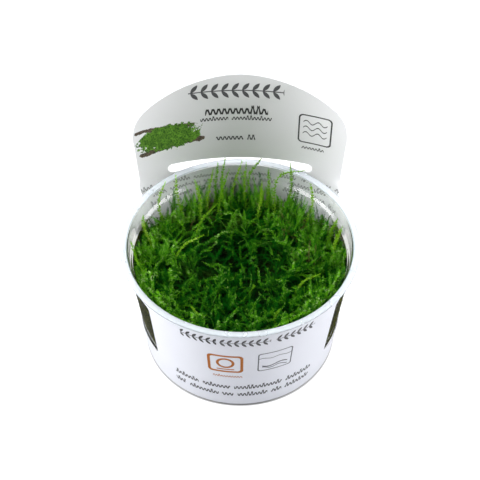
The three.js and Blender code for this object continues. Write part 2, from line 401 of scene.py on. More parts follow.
def cupPlastic(name, clear, color, roughness):
    sockets = {"Transmission_Weight": clear, "IOR": 1.49, "Specular_IOR_Level": 0.3}
    material, tree, shader = newMaterial(name, **sockets)
    shader.inputs["Base Color"].default_value = (*color, 1)
    place = millimetrePlace(tree)
    haze = noiseAt(tree, place, 0.12, 3.0)
    tree.links.new(remap(tree, haze, 0.3, 0.75, *roughness), shader.inputs["Roughness"])
    addBump(tree, shader, noiseAt(tree, place, 0.35, 1.0), 0.05, 0.03)
    return material


def makeCup():
    piece = turnProfile("clear_cup", cupProfile(), cup["steps"])
    applyModifier(piece, "BEVEL", width=cup["edgeRound"] * mm, segments=2, limit_method="ANGLE",
                  angle_limit=math.radians(cup["sharpAngle"]), use_clamp_overlap=True)
    bpy.ops.object.shade_smooth_by_angle(angle=math.radians(cup["smoothAngle"]))
    for name, look in cup["plastics"].items():
        piece.data.materials.append(cupPlastic(name, *look))
    clear, milky, line = range(len(cup["plastics"]))
    lineFrom, lineTo = cup["lipShadeLine"]
    for face in piece.data.polygons:
        x, y, z = face.center / mm
        if z > cup["milkyFrom"]:
            radius = math.hypot(x, y)
            behind = y > 0
            # painted shade: the lip's corner gets the darker plastic
            inLine = lineFrom < radius < (lineTo if behind else cup["milkyRadius"])
            gap = behind and abs(x) < cup["lineGap"]
            lip = line if inLine and not gap else clear
            face.material_index = milky if radius > cup["milkyRadius"] else lip
    settle(piece, "clear_plastic", "cup")
    print("cup", len(piece.data.polygons))


# The printed sleeve: a rolled sheet, flared at the back into the header.
def sleeveRadius(angle, z):
    cone = sleeve["bottomRadius"] + (min(z, sleeve["top"]) - sleeve["bottom"]) * sleeve["taper"]
    centre = sleeve["headerBack"] - sleeve["headerArcRadius"]
    cosine = math.cos(angle)
    reach = max(sleeve["headerArcRadius"] ** 2 - centre ** 2 * (1 - cosine ** 2), 0)
    header = centre * cosine + math.sqrt(reach)
    narrow = 1 - smooth(abs(angle), *sleeve["flareAngles"])
    lifted = smooth(z, sleeve["top"], sleeve["slotTop"])
    sideways = narrow + (1 - narrow) * lifted
    return cone + (header - cone) * sideways * smooth(z, sleeve["flareStart"], sleeve["top"])


def headerOutline():
    foot = sleeve["headerHalfWidth"] - sleeve["headerShoulder"]
    low = sleeve["top"] - 2
    side = sleeve["headerSide"]
    arch = [*side, (0, sleeve["headerTop"]), *[(-x, z) for x, z in reversed(side)]]
    return [(-foot, low), (foot, low), *[tuple(point) for point in splinePoints(arch, 8)]]


def roundedBox(x0, z0, x1, z1, corner, steps=8):
    centres = [(x1, z0, -1, 1), (x1, z1, -1, -1), (x0, z1, 1, -1), (x0, z0, 1, 1)]
    outline = []
    for k, (x, z, inX, inZ) in enumerate(centres):
        for i in range(steps + 1):
            angle = (k - 1 + i / steps) * math.pi / 2
            across = x + inX * corner + corner * math.cos(angle)
            outline.append((across, z + inZ * corner + corner * math.sin(angle)))
    return outline


def prism(name, outline, start, end, alongX=False):
    # a flat outline in X and Z pulled along Y, or in Y and Z pulled along X
    if alongX:
        points = [(start * mm, x * mm, z * mm) for x, z in outline]
        pull = ((end - start) * mm, 0, 0)
    else:
        points = [(x * mm, start * mm, z * mm) for x, z in outline]
        pull = (0, (end - start) * mm, 0)
    mesh = bpy.data.meshes.new(name)
    mesh.from_pydata(points, [], [list(range(len(points)))])
    piece = bpy.data.objects.new(name, mesh)
    bpy.context.collection.objects.link(piece)
    pick(piece)
    bpy.ops.object.mode_set(mode="EDIT")
    bpy.ops.mesh.select_all(action="SELECT")
    bpy.ops.mesh.extrude_region_move(TRANSFORM_OT_translate={"value": pull})
    bpy.ops.mesh.select_all(action="SELECT")
    bpy.ops.mesh.normals_make_consistent(inside=False)
    bpy.ops.object.mode_set(mode="OBJECT")
    return piece


def cutWith(piece, tool, operation):
    applyModifier(piece, "BOOLEAN", object=tool, operation=operation, solver="EXACT")
    bpy.data.objects.remove(tool)


def windowPrism(fronts, start, end):
    # the front edge leans forward as the cone widens
    low, rear, bottom = fronts[0], sleeve["windowRear"], sleeve["windowBottom"]
    rise = sleeve["windowTop"] - bottom
    outline = []
    for y, z in roundedBox(low, bottom, rear, sleeve["windowTop"], sleeve["windowCorner"]):
        lean = (fronts[1] - low) * (z - bottom) / rise * (rear - y) / (rear - low)
        outline.append((y + lean, z))
    return prism("window", outline, start, end, alongX=True)


def rolledSheet():
    low, high = sleeve["bottom"], sleeve["headerTop"] + 2
    deselectAll()
    middle = (0, 0, (low + high) / 2 * mm)
    bpy.ops.mesh.primitive_cylinder_add(vertices=sleeve["sides"], radius=sleeve["bottomRadius"] * mm,
                                        depth=(high - low) * mm, end_fill_type="NOTHING", location=middle)
    piece = bpy.context.object
    piece.name = "printed_sleeve"
    bpy.ops.object.transform_apply(location=True, rotation=False, scale=False)
    bpy.ops.object.mode_set(mode="EDIT")
    rows = np.arange(low + sleeve["rowGap"], high - 1, sleeve["rowGap"])
    for z in [*rows, sleeve["flareStart"], sleeve["top"] + 0.1]:
        bpy.ops.mesh.select_all(action="SELECT")
        bpy.ops.mesh.bisect(plane_co=(0, 0, z * mm), plane_no=(0, 0, 1))
    bpy.ops.object.mode_set(mode="OBJECT")
    for vertex in piece.data.vertices:
        angle = math.atan2(vertex.co.x, vertex.co.y)
        radius = sleeveRadius(angle, vertex.co.z / mm) * mm
        vertex.co.x = radius * math.sin(angle)
        vertex.co.y = radius * math.cos(angle)
    applyModifier(piece, "SOLIDIFY", thickness=sleeve["thickness"] * mm, offset=-1)
    return piece


def cutSheet(piece):
    reach, top, slotHalf = sleeve["cutReach"], sleeve["top"], sleeve["slotHalfWidth"]
    band = prism("band", roundedBox(-reach, 0, reach, top, 1, 1), -reach, reach)
    cutWith(band, prism("header", headerOutline(), sleeve["headerFrom"], reach), "UNION")
    cutWith(piece, band, "INTERSECT")
    opening = roundedBox(-slotHalf, top - 0.01, slotHalf, sleeve["slotTop"], sleeve["slotCorner"])
    cutWith(piece, prism("slot", opening, sleeve["slotFrom"], reach), "DIFFERENCE")
    for start, fronts in zip((-reach, 0), sleeve["windowFronts"]):
        cutWith(piece, windowPrism(fronts, start, start + reach), "DIFFERENCE")


def makeSleeve():
    piece = rolledSheet()
    cutSheet(piece)
    pick(piece)
    bpy.ops.object.shade_smooth_by_angle(angle=math.radians(sleeve["smoothAngle"]))
    piece.data.materials.clear()
    for material in (printedOutside(), printedInside(), plainEdge()):
        piece.data.materials.append(material)
    outside, inside, edge = range(len(piece.data.materials))
    for face in piece.data.polygons:
        outward = Vector((face.center.x, face.center.y, 0)).normalized().dot(face.normal)
        face.material_index = outside if outward > 0.5 else (inside if outward < -0.5 else edge)
    settle(piece, "printed_sheet", "label_sleeve")
    print("sleeve", len(piece.data.polygons))


# The print, in millimetres on the sheet: scribbled rows, leafy sprigs and a few plain marks.
# A row is its middle height, the size and pitch of its loops, and its spans from left to right.
frontPrint = {  # here places across are degrees round the cup
    "arcRadius": 45,  # turns an angle round the cup into a distance on the sheet
    "sprigs": [(-29.3, -11.2), (-9.6, 14.6), (17.2, 38.2)],
    "sprigSize": (49.0, 4.8),  # middle and height
    "rows": [
        (15.6, 2.6, 1.6, [(-37.5, -23.1), (-20.5, -5.3), (-3.2, 23.2), (25.6, 42)]),
        (9.8, 2.6, 1.6, [(-38.3, -31.8), (-29.1, -11.9), (-10, -3.7), (-1.3, 15.3), (17.5, 23.6),
                         (25.7, 41.5)]),
    ],
    "warmMark": {"across": -7.4, "up": 33.5, "width": 14.2, "height": 12.6, "line": 1.15, "corner": 1.9},
    "warmRing": (0.6, 3.1, 1.1),  # rise, radius and line
    "warmBar": (-4.0, 7.2, 0.7),  # rise, length and height
    "warmCaption": (24.2, 1.5, 1.1, [(-14.2, 1.2)]),
    "coolMark": {"across": 17.9, "up": 33.9, "width": 14.2, "height": 13.0, "line": 0.5, "corner": 1.2},
    "coolWaves": [(2.6, 13.4, 0.35, 6.7, 0.4), (-2.8, 10.5, 0.8, 10.5, 0.7), (-4.2, 10.5, 0.6, 7.0, 0.5)],
    "backRows": (7, 46, 3.4, 1.6, 1.2),  # how many, the first's height, the step down, size and pitch
    "backSpans": [(-34, 0.8, -24, -1), (-22.5, -1, -9, 1.3), (-7, 1.3, 8, -0.5), (10, 0, 19, 1),
                  (21, 1, 33, -1)],  # start and end, each with its shift from row to row
}

headerPrint = {
    "sprig": (-20.6, 17.6, 94.5, 7.4),  # from, to, middle and height
    "rows": [
        (84.4, 3.6, 2.3, [(-14.2, 11.4)]),
        (80.4, 2.0, 1.4, [(-16.2, -4.8), (-3.4, 13)]),
        (69.9, 2.4, 1.7, [(-10, 1.4), (3, 6.4)]),
        (67.9, 1.6, 1.3, [(25.6, 34.6)]),
    ],
    "emblem": {"across": 30.5, "up": 77.8, "width": 13.4, "height": 15.0, "line": 0.6, "corner": 1.8},
    "emblemWaves": [(rise, 9.6, 0.9, 4.8, 0.5) for rise in (3.6, 0.6, -2.4)],
    "paintedLightSides": (4, 42),  # painted light: the paper is coloured paler towards both sides and the top, where the sheet turns to the lamps
    "paintedLightTop": (86, 101),
}

wallPrint = [  # faint rows on the wall behind the mouth, in degrees again
    (49.6, 1.7, 1.3, [(-56, -44), (-41.5, -27), (-25, -14), (-8, 3), (5, 17), (22, 30), (33, 47),
                      (49, 62)]),
    (46.4, 1.7, 1.3, [(-52, -40), (-38, -22), (-20, -12), (-6, 9), (11, 19), (26, 38), (40, 60)]),
    (43.2, 1.7, 1.3, [(-50, -44), (-42, -27), (-25, -9), (-3, 12), (24, 33), (36, 48), (50, 57)]),
]

picture = {  # a plain printed tuft on two twigs
    "middle": (-29, 74, 0),
    "halfSize": (12.6, 6.4, 1),
    "ragged": 11.0,
    "twigs": [(-30.5, 79.4, -0.06, 24, 1.7), (-28, 69.2, 0.13, 27, 2.3)],  # middle, tilt, length, girth
    "twigWobble": 0.25,
    "bark": ((0.02, 0.016, 0.012), (0.2, 0.15, 0.11)),
    "leaves": ((0.01, 0.05, 0.005), (0.2, 0.46, 0.05)),
}

scribble = {  # shares of a row's height
    "line": 0.25,
    "swing": 0.27,
    "tallSwing": 0.26,  # what a taller loop adds
    "drop": 0.13,
    "tallFrom": 0.66,  # the share of loops that stay low
}

printedSprig = {
    "tilt": 52,
    "pitch": 1.75,  # in leaf lengths, as the next three are
    "width": 0.36,
    "shift": 0.2,
    "stem": 0.035,  # as a share of the sprig's height
}

sheetColors = {
    "outside": (0.88, 0.9, 0.975),
    # the inside is the same paper as the outside, coloured grey as painted shade and paler where painted
    # light falls
    "inside": (0.62, 0.64, 0.62),
    "insidePaintedLight": (0.965, 0.965, 0.985),
    "edge": (0.82, 0.83, 0.87),
    "darkSprig": (0.03, 0.03, 0.035),
    "paleSprigs": (0.1, 0.1, 0.11),
    "rows": (0.04, 0.04, 0.05),
    "warm": (0.5, 0.155, 0.022),
    "cool": (0.14, 0.145, 0.165),
    "backRows": (0.12, 0.12, 0.13),
    "headerSprig": (0.085, 0.085, 0.09),
    "headerRows": (0.03, 0.03, 0.03),
    "emblem": (0.05, 0.05, 0.05),
    "wallRows": (0.09, 0.09, 0.09),
    "wallRowShare": 0.72,
}


def barInk(tree, place, x0, x1, z, height, corner=None):
    # one bar with round ends
    corner = height / 2 if corner is None else corner
    centre = ((x0 + x1) / 2, z, 0)
    half = (max((x1 - x0) / 2 - corner, 0), max(height / 2 - corner, 0), 0)
    away = vectorCalc(tree, "ABSOLUTE", vectorCalc(tree, "SUBTRACT", place, centre))
    outside = vectorCalc(tree, "MAXIMUM", vectorCalc(tree, "SUBTRACT", away, half), (0, 0, 0))
    return below(tree, vectorCalc(tree, "LENGTH", outside), corner)


def frameInk(tree, place, mark, degree=1.0):
    # a line round a box with round corners, as one bar less a smaller one
    across, line, corner = mark["across"] * degree, mark["line"], mark["corner"]
    half = mark["width"] / 2
    outer = barInk(tree, place, across - half, across + half, mark["up"], mark["height"], corner)
    half -= line
    inner = barInk(tree, place, across - half, across + half, mark["up"], mark["height"] - 2 * line,
                   corner - line * 0.6)
    return calc(tree, "SUBTRACT", outer, inner, clamp=True)


def ringInk(tree, place, across, up, radius, line):
    away = vectorCalc(tree, "LENGTH", vectorCalc(tree, "SUBTRACT", place, (across, up, 0)))
    return within(tree, away, radius, line / 2)


def waveInk(tree, across, up, mark, wave, degree=1.0):
    # a level wavy line about the middle of a mark
    rise, width, swing, length, line = wave
    centre = mark["across"] * degree
    turned = times(tree, calc(tree, "SUBTRACT", across, centre), fullTurn / length)
    height = calc(tree, "MULTIPLY_ADD", calc(tree, "SINE", turned), swing, mark["up"] + rise)
    return times(tree, within(tree, up, height, line / 2), within(tree, across, centre, width / 2))


def addInks(tree, inks):
    total = inks[0]
    for ink in inks[1:]:
        total = calc(tree, "MAXIMUM", total, ink)
    return total


def within(tree, value, centre, half):
    return below(tree, gapTo(tree, value, centre), half)


def rowInk(tree, across, up, rows, degree=1.0):
    # scribbled lines, with some of their loops taller
    inks = []
    for z, height, pitch, spans in rows:
        turned = calc(tree, "DIVIDE", across, pitch)
        column = addNode(tree, "ShaderNodeTexWhiteNoise", {"W": calc(tree, "FLOOR", turned)},
                         noise_dimensions="1D").outputs["Value"]
        loop = times(tree, turned, fullTurn)
        crest = calc(tree, "SINE", loop)
        tall = times(tree, calc(tree, "GREATER_THAN", column, scribble["tallFrom"]),
                     calc(tree, "GREATER_THAN", crest, 0.0))
        least, more = height * scribble["swing"], height * scribble["tallSwing"]
        swing = calc(tree, "MULTIPLY_ADD", tall, more, least)
        level = calc(tree, "MULTIPLY_ADD", crest, swing, z - height * scribble["drop"])
        slope = times(tree, calc(tree, "COSINE", loop), swing, fullTurn / pitch)
        steep = calc(tree, "SQRT", calc(tree, "MULTIPLY_ADD", slope, slope, 1.0))
        away = calc(tree, "DIVIDE", gapTo(tree, up, level), steep)
        drawn = below(tree, away, height * scribble["line"] / 2)
        inSpans = [within(tree, across, (x0 + x1) / 2 * degree, (x1 - x0) / 2 * degree)
                   for x0, x1 in spans]
        inks.append(times(tree, drawn, addInks(tree, inSpans)))
    return addInks(tree, inks)


def sprigInk(tree, across, up, start, end, z, height):
    # a plain stem with pairs of leaves that lean forward
    tilt = math.radians(printedSprig["tilt"])
    reach = height / 4 / math.sin(tilt)
    pitch = reach * printedSprig["pitch"]
    width = reach * printedSprig["width"]
    share = calc(tree, "FRACT", calc(tree, "DIVIDE", across, pitch))
    spot = calc(tree, "MULTIPLY_ADD", share, pitch, -printedSprig["shift"] * pitch)
    side = gapTo(tree, up, z)
    along = calc(tree, "ADD", times(tree, spot, math.cos(tilt)), times(tree, side, math.sin(tilt)))
    off = calc(tree, "SUBTRACT", times(tree, side, math.cos(tilt)), times(tree, spot, math.sin(tilt)))
    middle = calc(tree, "DIVIDE", calc(tree, "SUBTRACT", along, reach), reach)
    half = calc(tree, "MULTIPLY_ADD", times(tree, middle, middle), -width, width)
    leaf = below(tree, calc(tree, "ABSOLUTE", off), half)
    stem = below(tree, side, height * printedSprig["stem"])
    span = within(tree, across, (start + end) / 2, (end - start) / 2)
    return times(tree, calc(tree, "MAXIMUM", leaf, stem), span)


def layInks(tree, color, inks):
    for ink, shade in inks:
        color = blendColors(tree, ink, color, shade)
    return color


def aroundCup(tree, x, y):
    # the distance round the sheet from the middle of its front or back
    return times(tree, calc(tree, "ARCTAN2", x, y), frontPrint["arcRadius"])


def sheetBase(name, color):
    material, tree, shader = newMaterial(name, Roughness=0.42)
    place = millimetrePlace(tree)
    grain = noiseAt(tree, place, 2.2, 3.0, 0.6)
    cloud = noiseAt(tree, place, 0.035, 2.0)
    shade = calc(tree, "ADD", remap(tree, grain, 0.3, 0.7, -0.012, 0.012),
                 remap(tree, cloud, 0.3, 0.7, 0.97, 1.0))
    scaled = addNode(tree, "ShaderNodeVectorMath", {0: color, "Scale": shade}, operation="SCALE")
    addBump(tree, shader, grain, 0.12, 0.03)
    return material, tree, shader, place, scaled.outputs["Vector"]


def backScribbles():
    # slanted blocks of small rows on the back of the sheet
    count, top, drop, height, pitch = frontPrint["backRows"]
    blocks = frontPrint["backSpans"]
    rows = []
    for k in range(count):
        spans = [(start + move * k, end + drift * k) for start, move, end, drift in blocks]
        rows.append((top - drop * k, height, pitch, spans))
    return rows


def printedOutside():
    material, tree, shader, place, paper = sheetBase("printed_outside", sheetColors["outside"])
    across, depth, up = splitPlace(tree, place)
    front = below(tree, depth, 0.0)
    along = aroundCup(tree, across, calc(tree, "ABSOLUTE", depth))
    flat = joinPlace(tree, along, up)
    degree = math.radians(1) * frontPrint["arcRadius"]
    dark, *pale = [sprigInk(tree, along, up, x0 * degree, x1 * degree, *frontPrint["sprigSize"])
                   for x0, x1 in frontPrint["sprigs"]]
    warm, cool = frontPrint["warmMark"], frontPrint["coolMark"]
    warmAcross = warm["across"] * degree
    ringRise, ringRadius, ringLine = frontPrint["warmRing"]
    barRise, barLength, barHeight = frontPrint["warmBar"]
    barStart, barEnd = warmAcross - barLength / 2, warmAcross + barLength / 2
    warmInk = addInks(tree, [
        frameInk(tree, flat, warm, degree),
        ringInk(tree, flat, warmAcross, warm["up"] + ringRise, ringRadius, ringLine),
        barInk(tree, flat, barStart, barEnd, warm["up"] + barRise, barHeight),
        rowInk(tree, along, up, [frontPrint["warmCaption"]], degree),
    ])
    waves = [waveInk(tree, along, up, cool, wave, degree) for wave in frontPrint["coolWaves"]]
    coolInk = addInks(tree, [frameInk(tree, flat, cool, degree), *waves])
    frontInks = {
        "darkSprig": dark,
        "paleSprigs": addInks(tree, pale),
        "rows": rowInk(tree, along, up, frontPrint["rows"], degree),
        "warm": warmInk,
        "cool": coolInk,
    }
    inks = [(times(tree, ink, front), sheetColors[name]) for name, ink in frontInks.items()]
    small = rowInk(tree, along, up, backScribbles(), degree)
    inks.append((times(tree, small, calc(tree, "SUBTRACT", 1.0, front)), sheetColors["backRows"]))
    tree.links.new(layInks(tree, paper, inks), shader.inputs["Base Color"])
    return material


def printedInside():
    material, tree, shader, place, paper = sheetBase("printed_inside", sheetColors["inside"])
    across, depth, up = splitPlace(tree, place)
    flat = joinPlace(tree, across, up)
    # painted shade and light: grey paper, paler towards the sides and the top
    side = remap(tree, calc(tree, "ABSOLUTE", across), *headerPrint["paintedLightSides"])
    above = remap(tree, up, *headerPrint["paintedLightTop"], 0.0, 0.55)
    paper = blendColors(tree, calc(tree, "MAXIMUM", side, above), paper, sheetColors["insidePaintedLight"])
    emblem = headerPrint["emblem"]
    waves = [waveInk(tree, across, up, emblem, wave) for wave in headerPrint["emblemWaves"]]
    headerInks = {
        "headerSprig": sprigInk(tree, across, up, *headerPrint["sprig"]),
        "headerRows": rowInk(tree, across, up, headerPrint["rows"]),
        "emblem": addInks(tree, [frameInk(tree, flat, emblem), *waves]),
    }
    raised = calc(tree, "GREATER_THAN", up, sleeve["slotTop"])
    inks = [(times(tree, ink, raised), sheetColors[name]) for name, ink in headerInks.items()]
    color = pictureColor(tree, place, flat, layInks(tree, paper, inks))
    degree = math.radians(1) * frontPrint["arcRadius"]
    wall = rowInk(tree, aroundCup(tree, across, depth), up, wallPrint, degree)
    faint = times(tree, wall, sheetColors["wallRowShare"])
    color = blendColors(tree, faint, color, sheetColors["wallRows"])
    tree.links.new(color, shader.inputs["Base Color"])
    return material


def pictureColor(tree, place, flat, paper):
    ragged = noiseAt(tree, place, 0.55, 4.0, 0.7)
    fine = noiseAt(tree, place, 1.6, 3.0, 0.7)
    shift = times(tree, calc(tree, "SUBTRACT", ragged, 0.5), picture["ragged"])
    moved = vectorCalc(tree, "ADD", flat, joinPlace(tree, shift, shift))
    centred = vectorCalc(tree, "SUBTRACT", moved, picture["middle"])
    away = vectorCalc(tree, "LENGTH", vectorCalc(tree, "DIVIDE", centred, picture["halfSize"]))
    wobble = joinPlace(tree, 0.0, times(tree, shift, picture["twigWobble"]))
    twigs = []
    for x, z, tilt, length, thick in picture["twigs"]:
        inputs = {"Vector": flat, "Center": (x, z, 0), "Angle": -tilt}
        turned = addNode(tree, "ShaderNodeVectorRotate", inputs, rotation_type="Z_AXIS").outputs[0]
        bent = vectorCalc(tree, "ADD", turned, wobble)
        twigs.append(barInk(tree, bent, x - length / 2, x + length / 2, z, thick))
    bark = blendColors(tree, remap(tree, fine, 0.35, 0.65), *picture["bark"])
    shady = remap(tree, noiseAt(tree, place, 0.35, 2.0), 0.42, 0.62, 0.55, 1.0)
    leaves = blendColors(tree, times(tree, remap(tree, fine, 0.36, 0.6), shady), *picture["leaves"])
    color = blendColors(tree, addInks(tree, twigs), paper, bark)
    return blendColors(tree, below(tree, away, 1.0), color, leaves)


def plainEdge():
    material, tree, shader, _, paper = sheetBase("sheet_edge", sheetColors["edge"])
    tree.links.new(paper, shader.inputs["Base Color"])
    return material


# The moss. Heights follow the cushion in the cup: lower at the back, hollow in the middle.
moss = {
    "cushionHeight": 43.5,
    "backDrop": 6.5,
    "hollow": (2, 0, 13, 3.5),  # centre, radius and depth
    "lumps": ((1.1, 0.52, 0.9, 0.46, 1.3), (0.6, 0.9, -0.7)),  # two waves: height, then turns and starts
    "climb": 4.2,  # how far the moss climbs the wall at the front
    "climbRadius": (32, 41),
    "climbFront": (-2, 20),  # towards -Y
    "wallGap": 1.1,
    "rimSteps": [(49.5, 51, 1.6), (55.5, 57, 1.4)],  # between these heights the wall steps out this far
    "seed": 11,
}

freshnessAndPaintedLight = {  # how much fresher the leaves are coloured, and from and to which distance: tip is their real young growth, level is partly painted shade lower in the moss, and the rest is painted light where the lamps fall
    "level": (0.54, -5.0, 4.5),  # height over the cushion
    "wall": (0.24, 33, 41),  # distance from the middle
    "wallSides": (6, 22),
    "sides": (0.24, 14, 34),
    "right": (0.1, 10, 34),
    "farRight": (0.42, 20, 36),
    "farLeft": (0.3, 29, 38),
    "back": (0.26, 6, 28),
    "backRight": (0.45, -18, 22),  # the back's share that only its right part has
    "tip": 0.36,
    "shadedTip": 0.5,
}

# sizes of one leaf, the gap between leaves along the stem, and their angle from it in degrees
leafKinds = {
    "tangle": {"length": 1.0, "width": 0.34, "keel": 0.1, "gap": 0.56, "angle": 50, "stem": 0.13},
    "sprig": {"length": 0.95, "width": 0.36, "keel": 0.1, "gap": 0.52, "angle": 48, "stem": 0.13},
    "shoot": {"length": 1.25, "width": 0.54, "keel": 0.13, "gap": 0.6, "angle": 48, "stem": 0.24},
}

leafHabit = {  # how leaves differ along a stem
    "least": 4,
    "firstAt": 0.4,  # in gaps from the foot
    "span": (0.02, 0.995),  # shares of the stem, as the next is
    "scatter": 0.006,
    "roll": 0.35,
    "angleScatter": 9,
    "tipAngle": 24,  # degrees by which the last leaves close up
    "closeFrom": 0.75,
    "footSize": 0.62,
    "fullFrom": 0.2,
    "tipLoss": 0.3,
    "shrinkFrom": 0.8,
    "sizes": (0.82, 1.15),
    "widestAt": 0.42,
    "tipKeel": 0.6,
    "toneScatter": 0.1,
    "younger": (0, 0.04, 0.14, 0.04),  # each corner's gain over the stem, from the leaf's foot round
    "stemTaper": (1.15, 0.75),
}

shoots = [  # foot on the plan, tip in space, and how far the middle bows towards +X and up
    ((-32.3, 22.2), (-30.7, 27.6, 61.5), -2.4),
    ((-24.5, 28), (-26.6, 30.9, 61.6), -0.8),
    ((-17, 27), (-18.7, 29.5, 60.6), 1),
    ((-10.5, 36), (-9.2, 40, 60.2), -0.6),
    ((-6, 32.5), (-6.2, 38.8, 64), -1.8),
    ((-9.5, 29.5), (-4.4, 34.4, 62), -0.8),
    ((-4.2, 36.4), (0.9, 39.4, 62), -0.6),
    ((2.4, 33.5), (2.7, 38, 62.5), -0.6),
    ((4.8, 36.9), (8.9, 40.6, 62.2), -2.9, 4),
    ((7.5, 28.5), (9.2, 30.6, 58.5), 0.5),
    ((11.5, 34.5), (12, 38.3, 58.4), 0.6),
    ((15, 29.5), (26.8, 32.5, 62.9), -4.6, 11),
    ((20, 32), (21, 37.8, 62.2), 1.2),
    ((28, 23), (28.9, 26.6, 61), 1.8),
    ((36.3, 9), (39.2, 10, 57.5), -0.3),
    ((37.4, 2), (40.6, 4.6, 58.4), -0.5),
    ((-36.3, 8.5), (-38.8, 10, 59.5), -1.2),
    ((-36.2, -13), (-42.6, -4.6, 60.4), -0.8),
    ((-19, 13), (-9.5, 21, 55), -1.5),
    ((-26, 0), (-14.5, 4.5, 54), -2),
    ((22, -17), (31, -15.5, 53.5), -1.5),
    ((4, -17), (5, -23, 56), 0.8),
    ((-16, -33), (-18, -34.5, 57), 0.8),
    ((13, -33.5), (15, -35, 56.5), -0.8),
    ((-14.3, 34), (-11.1, 36.4, 60.5), -0.2),
]

tufts = [  # places on the plan
    (-29, 14), (1, 20), (11, 18.5), (21, 17), (29, 10.5), (31.5, -3.5), (22.5, -5), (28, -23.5),
    (18, -27), (5, -31), (-7, -27), (-25, -25.5), (-15, -19.5), (-27, -14), (-20.5, -8), (-33, -2),
    (14, -14.5), (-5, -13.5), (16, 5),
]


def cushionTop(x, y):
    back = moss["backDrop"] * smooth(y, 0, 36)
    hollowX, hollowY, radius, depth = moss["hollow"]
    middle = np.hypot(x - hollowX, y - hollowY) / radius
    hollow = depth * np.exp(-(middle ** 2))
    (big, turnX, startX, turnY, startY), (small, alongX, alongY) = moss["lumps"]
    lumps = big * np.sin(turnX * x + startX) * np.cos(turnY * y + startY)
    lumps = lumps + small * np.sin(alongX * x + alongY * y)
    return moss["cushionHeight"] - back - hollow + lumps


def mossTop(x, y):
    # the moss grows higher where it leans on the wall in front
    atWall = smooth(np.hypot(x, y), *moss["climbRadius"])
    return cushionTop(x, y) + moss["climb"] * atWall * smooth(-y, *moss["climbFront"])


def keepInside(points, gap=moss["wallGap"]):
    # pull points back from the cup's wall, which steps out near the rim
    x, y, z = np.moveaxis(points, -1, 0)
    limit = innerRadius(z) - gap
    for low, high, out in moss["rimSteps"]:
        limit = limit + smooth(z, low, high) * out
    points[..., :2] *= np.minimum(1, limit / np.maximum(np.hypot(x, y), 1e-6))[..., None]
    return points


def unit(vectors):
    return vectors / np.maximum(np.linalg.norm(vectors, axis=-1, keepdims=True), 1e-9)


def freshnessAndPaintedLightAt(points, share, lit):
    # 0 where the moss is old and shaded, 1 at the growing tips; painted light is added towards the sides,
    # back and wall, and painted shade lower in the moss
    if not lit:
        return freshnessAndPaintedLight["shadedTip"] * share
    x, y, z = np.moveaxis(points, -1, 0)
    across = np.abs(x)
    measured = {
        "level": z - mossTop(x, y),
        "wall": np.hypot(x, y),
        "sides": across,
        "right": x,
        "farRight": x,
        "farLeft": -x,
        "back": y,
        "backRight": x,
    }
    # painted light: leaves towards the sides, back and wall get a brighter colour where the lamps fall
    gained = {}
    for name, value in measured.items():
        most, low, high = freshnessAndPaintedLight[name]
        gained[name] = most * smooth(value, low, high)
    gained["wall"] = gained["wall"] * smooth(across, *freshnessAndPaintedLight["wallSides"])
    gained["back"] = gained["back"] * (1 - freshnessAndPaintedLight["backRight"][0] + gained.pop("backRight"))
    return freshnessAndPaintedLight["tip"] * share + sum(gained.values())


def stemParts(paths, across, normals, size, kind):
    # a thin three-sided tube for each path, closed at both ends
    count, steps = paths.shape[:2]
    inner = steps - 2
    shares = np.linspace(0, 1, steps)
    thick, taper = leafHabit["stemTaper"]
    girth = kind["stem"] * size[:, None] * (thick - taper * shares[None, :])
    corners = [fullTurn * k / 3 for k in range(3)]
    rings = [paths + (across * math.cos(a) + normals * math.sin(a)) * girth[..., None] for a in corners]
    tube = np.stack(rings, axis=2)[:, 1:-1].reshape(count, inner * 3, 3)
    points = np.concatenate([tube, paths[:, :1], paths[:, -1:]], axis=1)
    first, last, top = inner * 3, inner * 3 + 1, (inner - 1) * 3
    faces = []
    for k in range(3):
        turn = (k + 1) % 3
        for i in range(inner - 1):
            a, b = i * 3 + k, i * 3 + turn
            faces += [(a, b, b + 3), (a, b + 3, a + 3)]
        faces += [(first, turn, k), (last, top + k, top + turn)]
    triangles = np.arange(count)[:, None, None] * points.shape[1] + np.array(faces)[None]
    share = np.concatenate([np.repeat(shares[1:-1], 3), [0, 1]])
    return points, triangles.reshape(-1, 3), np.broadcast_to(share, points.shape[:2])


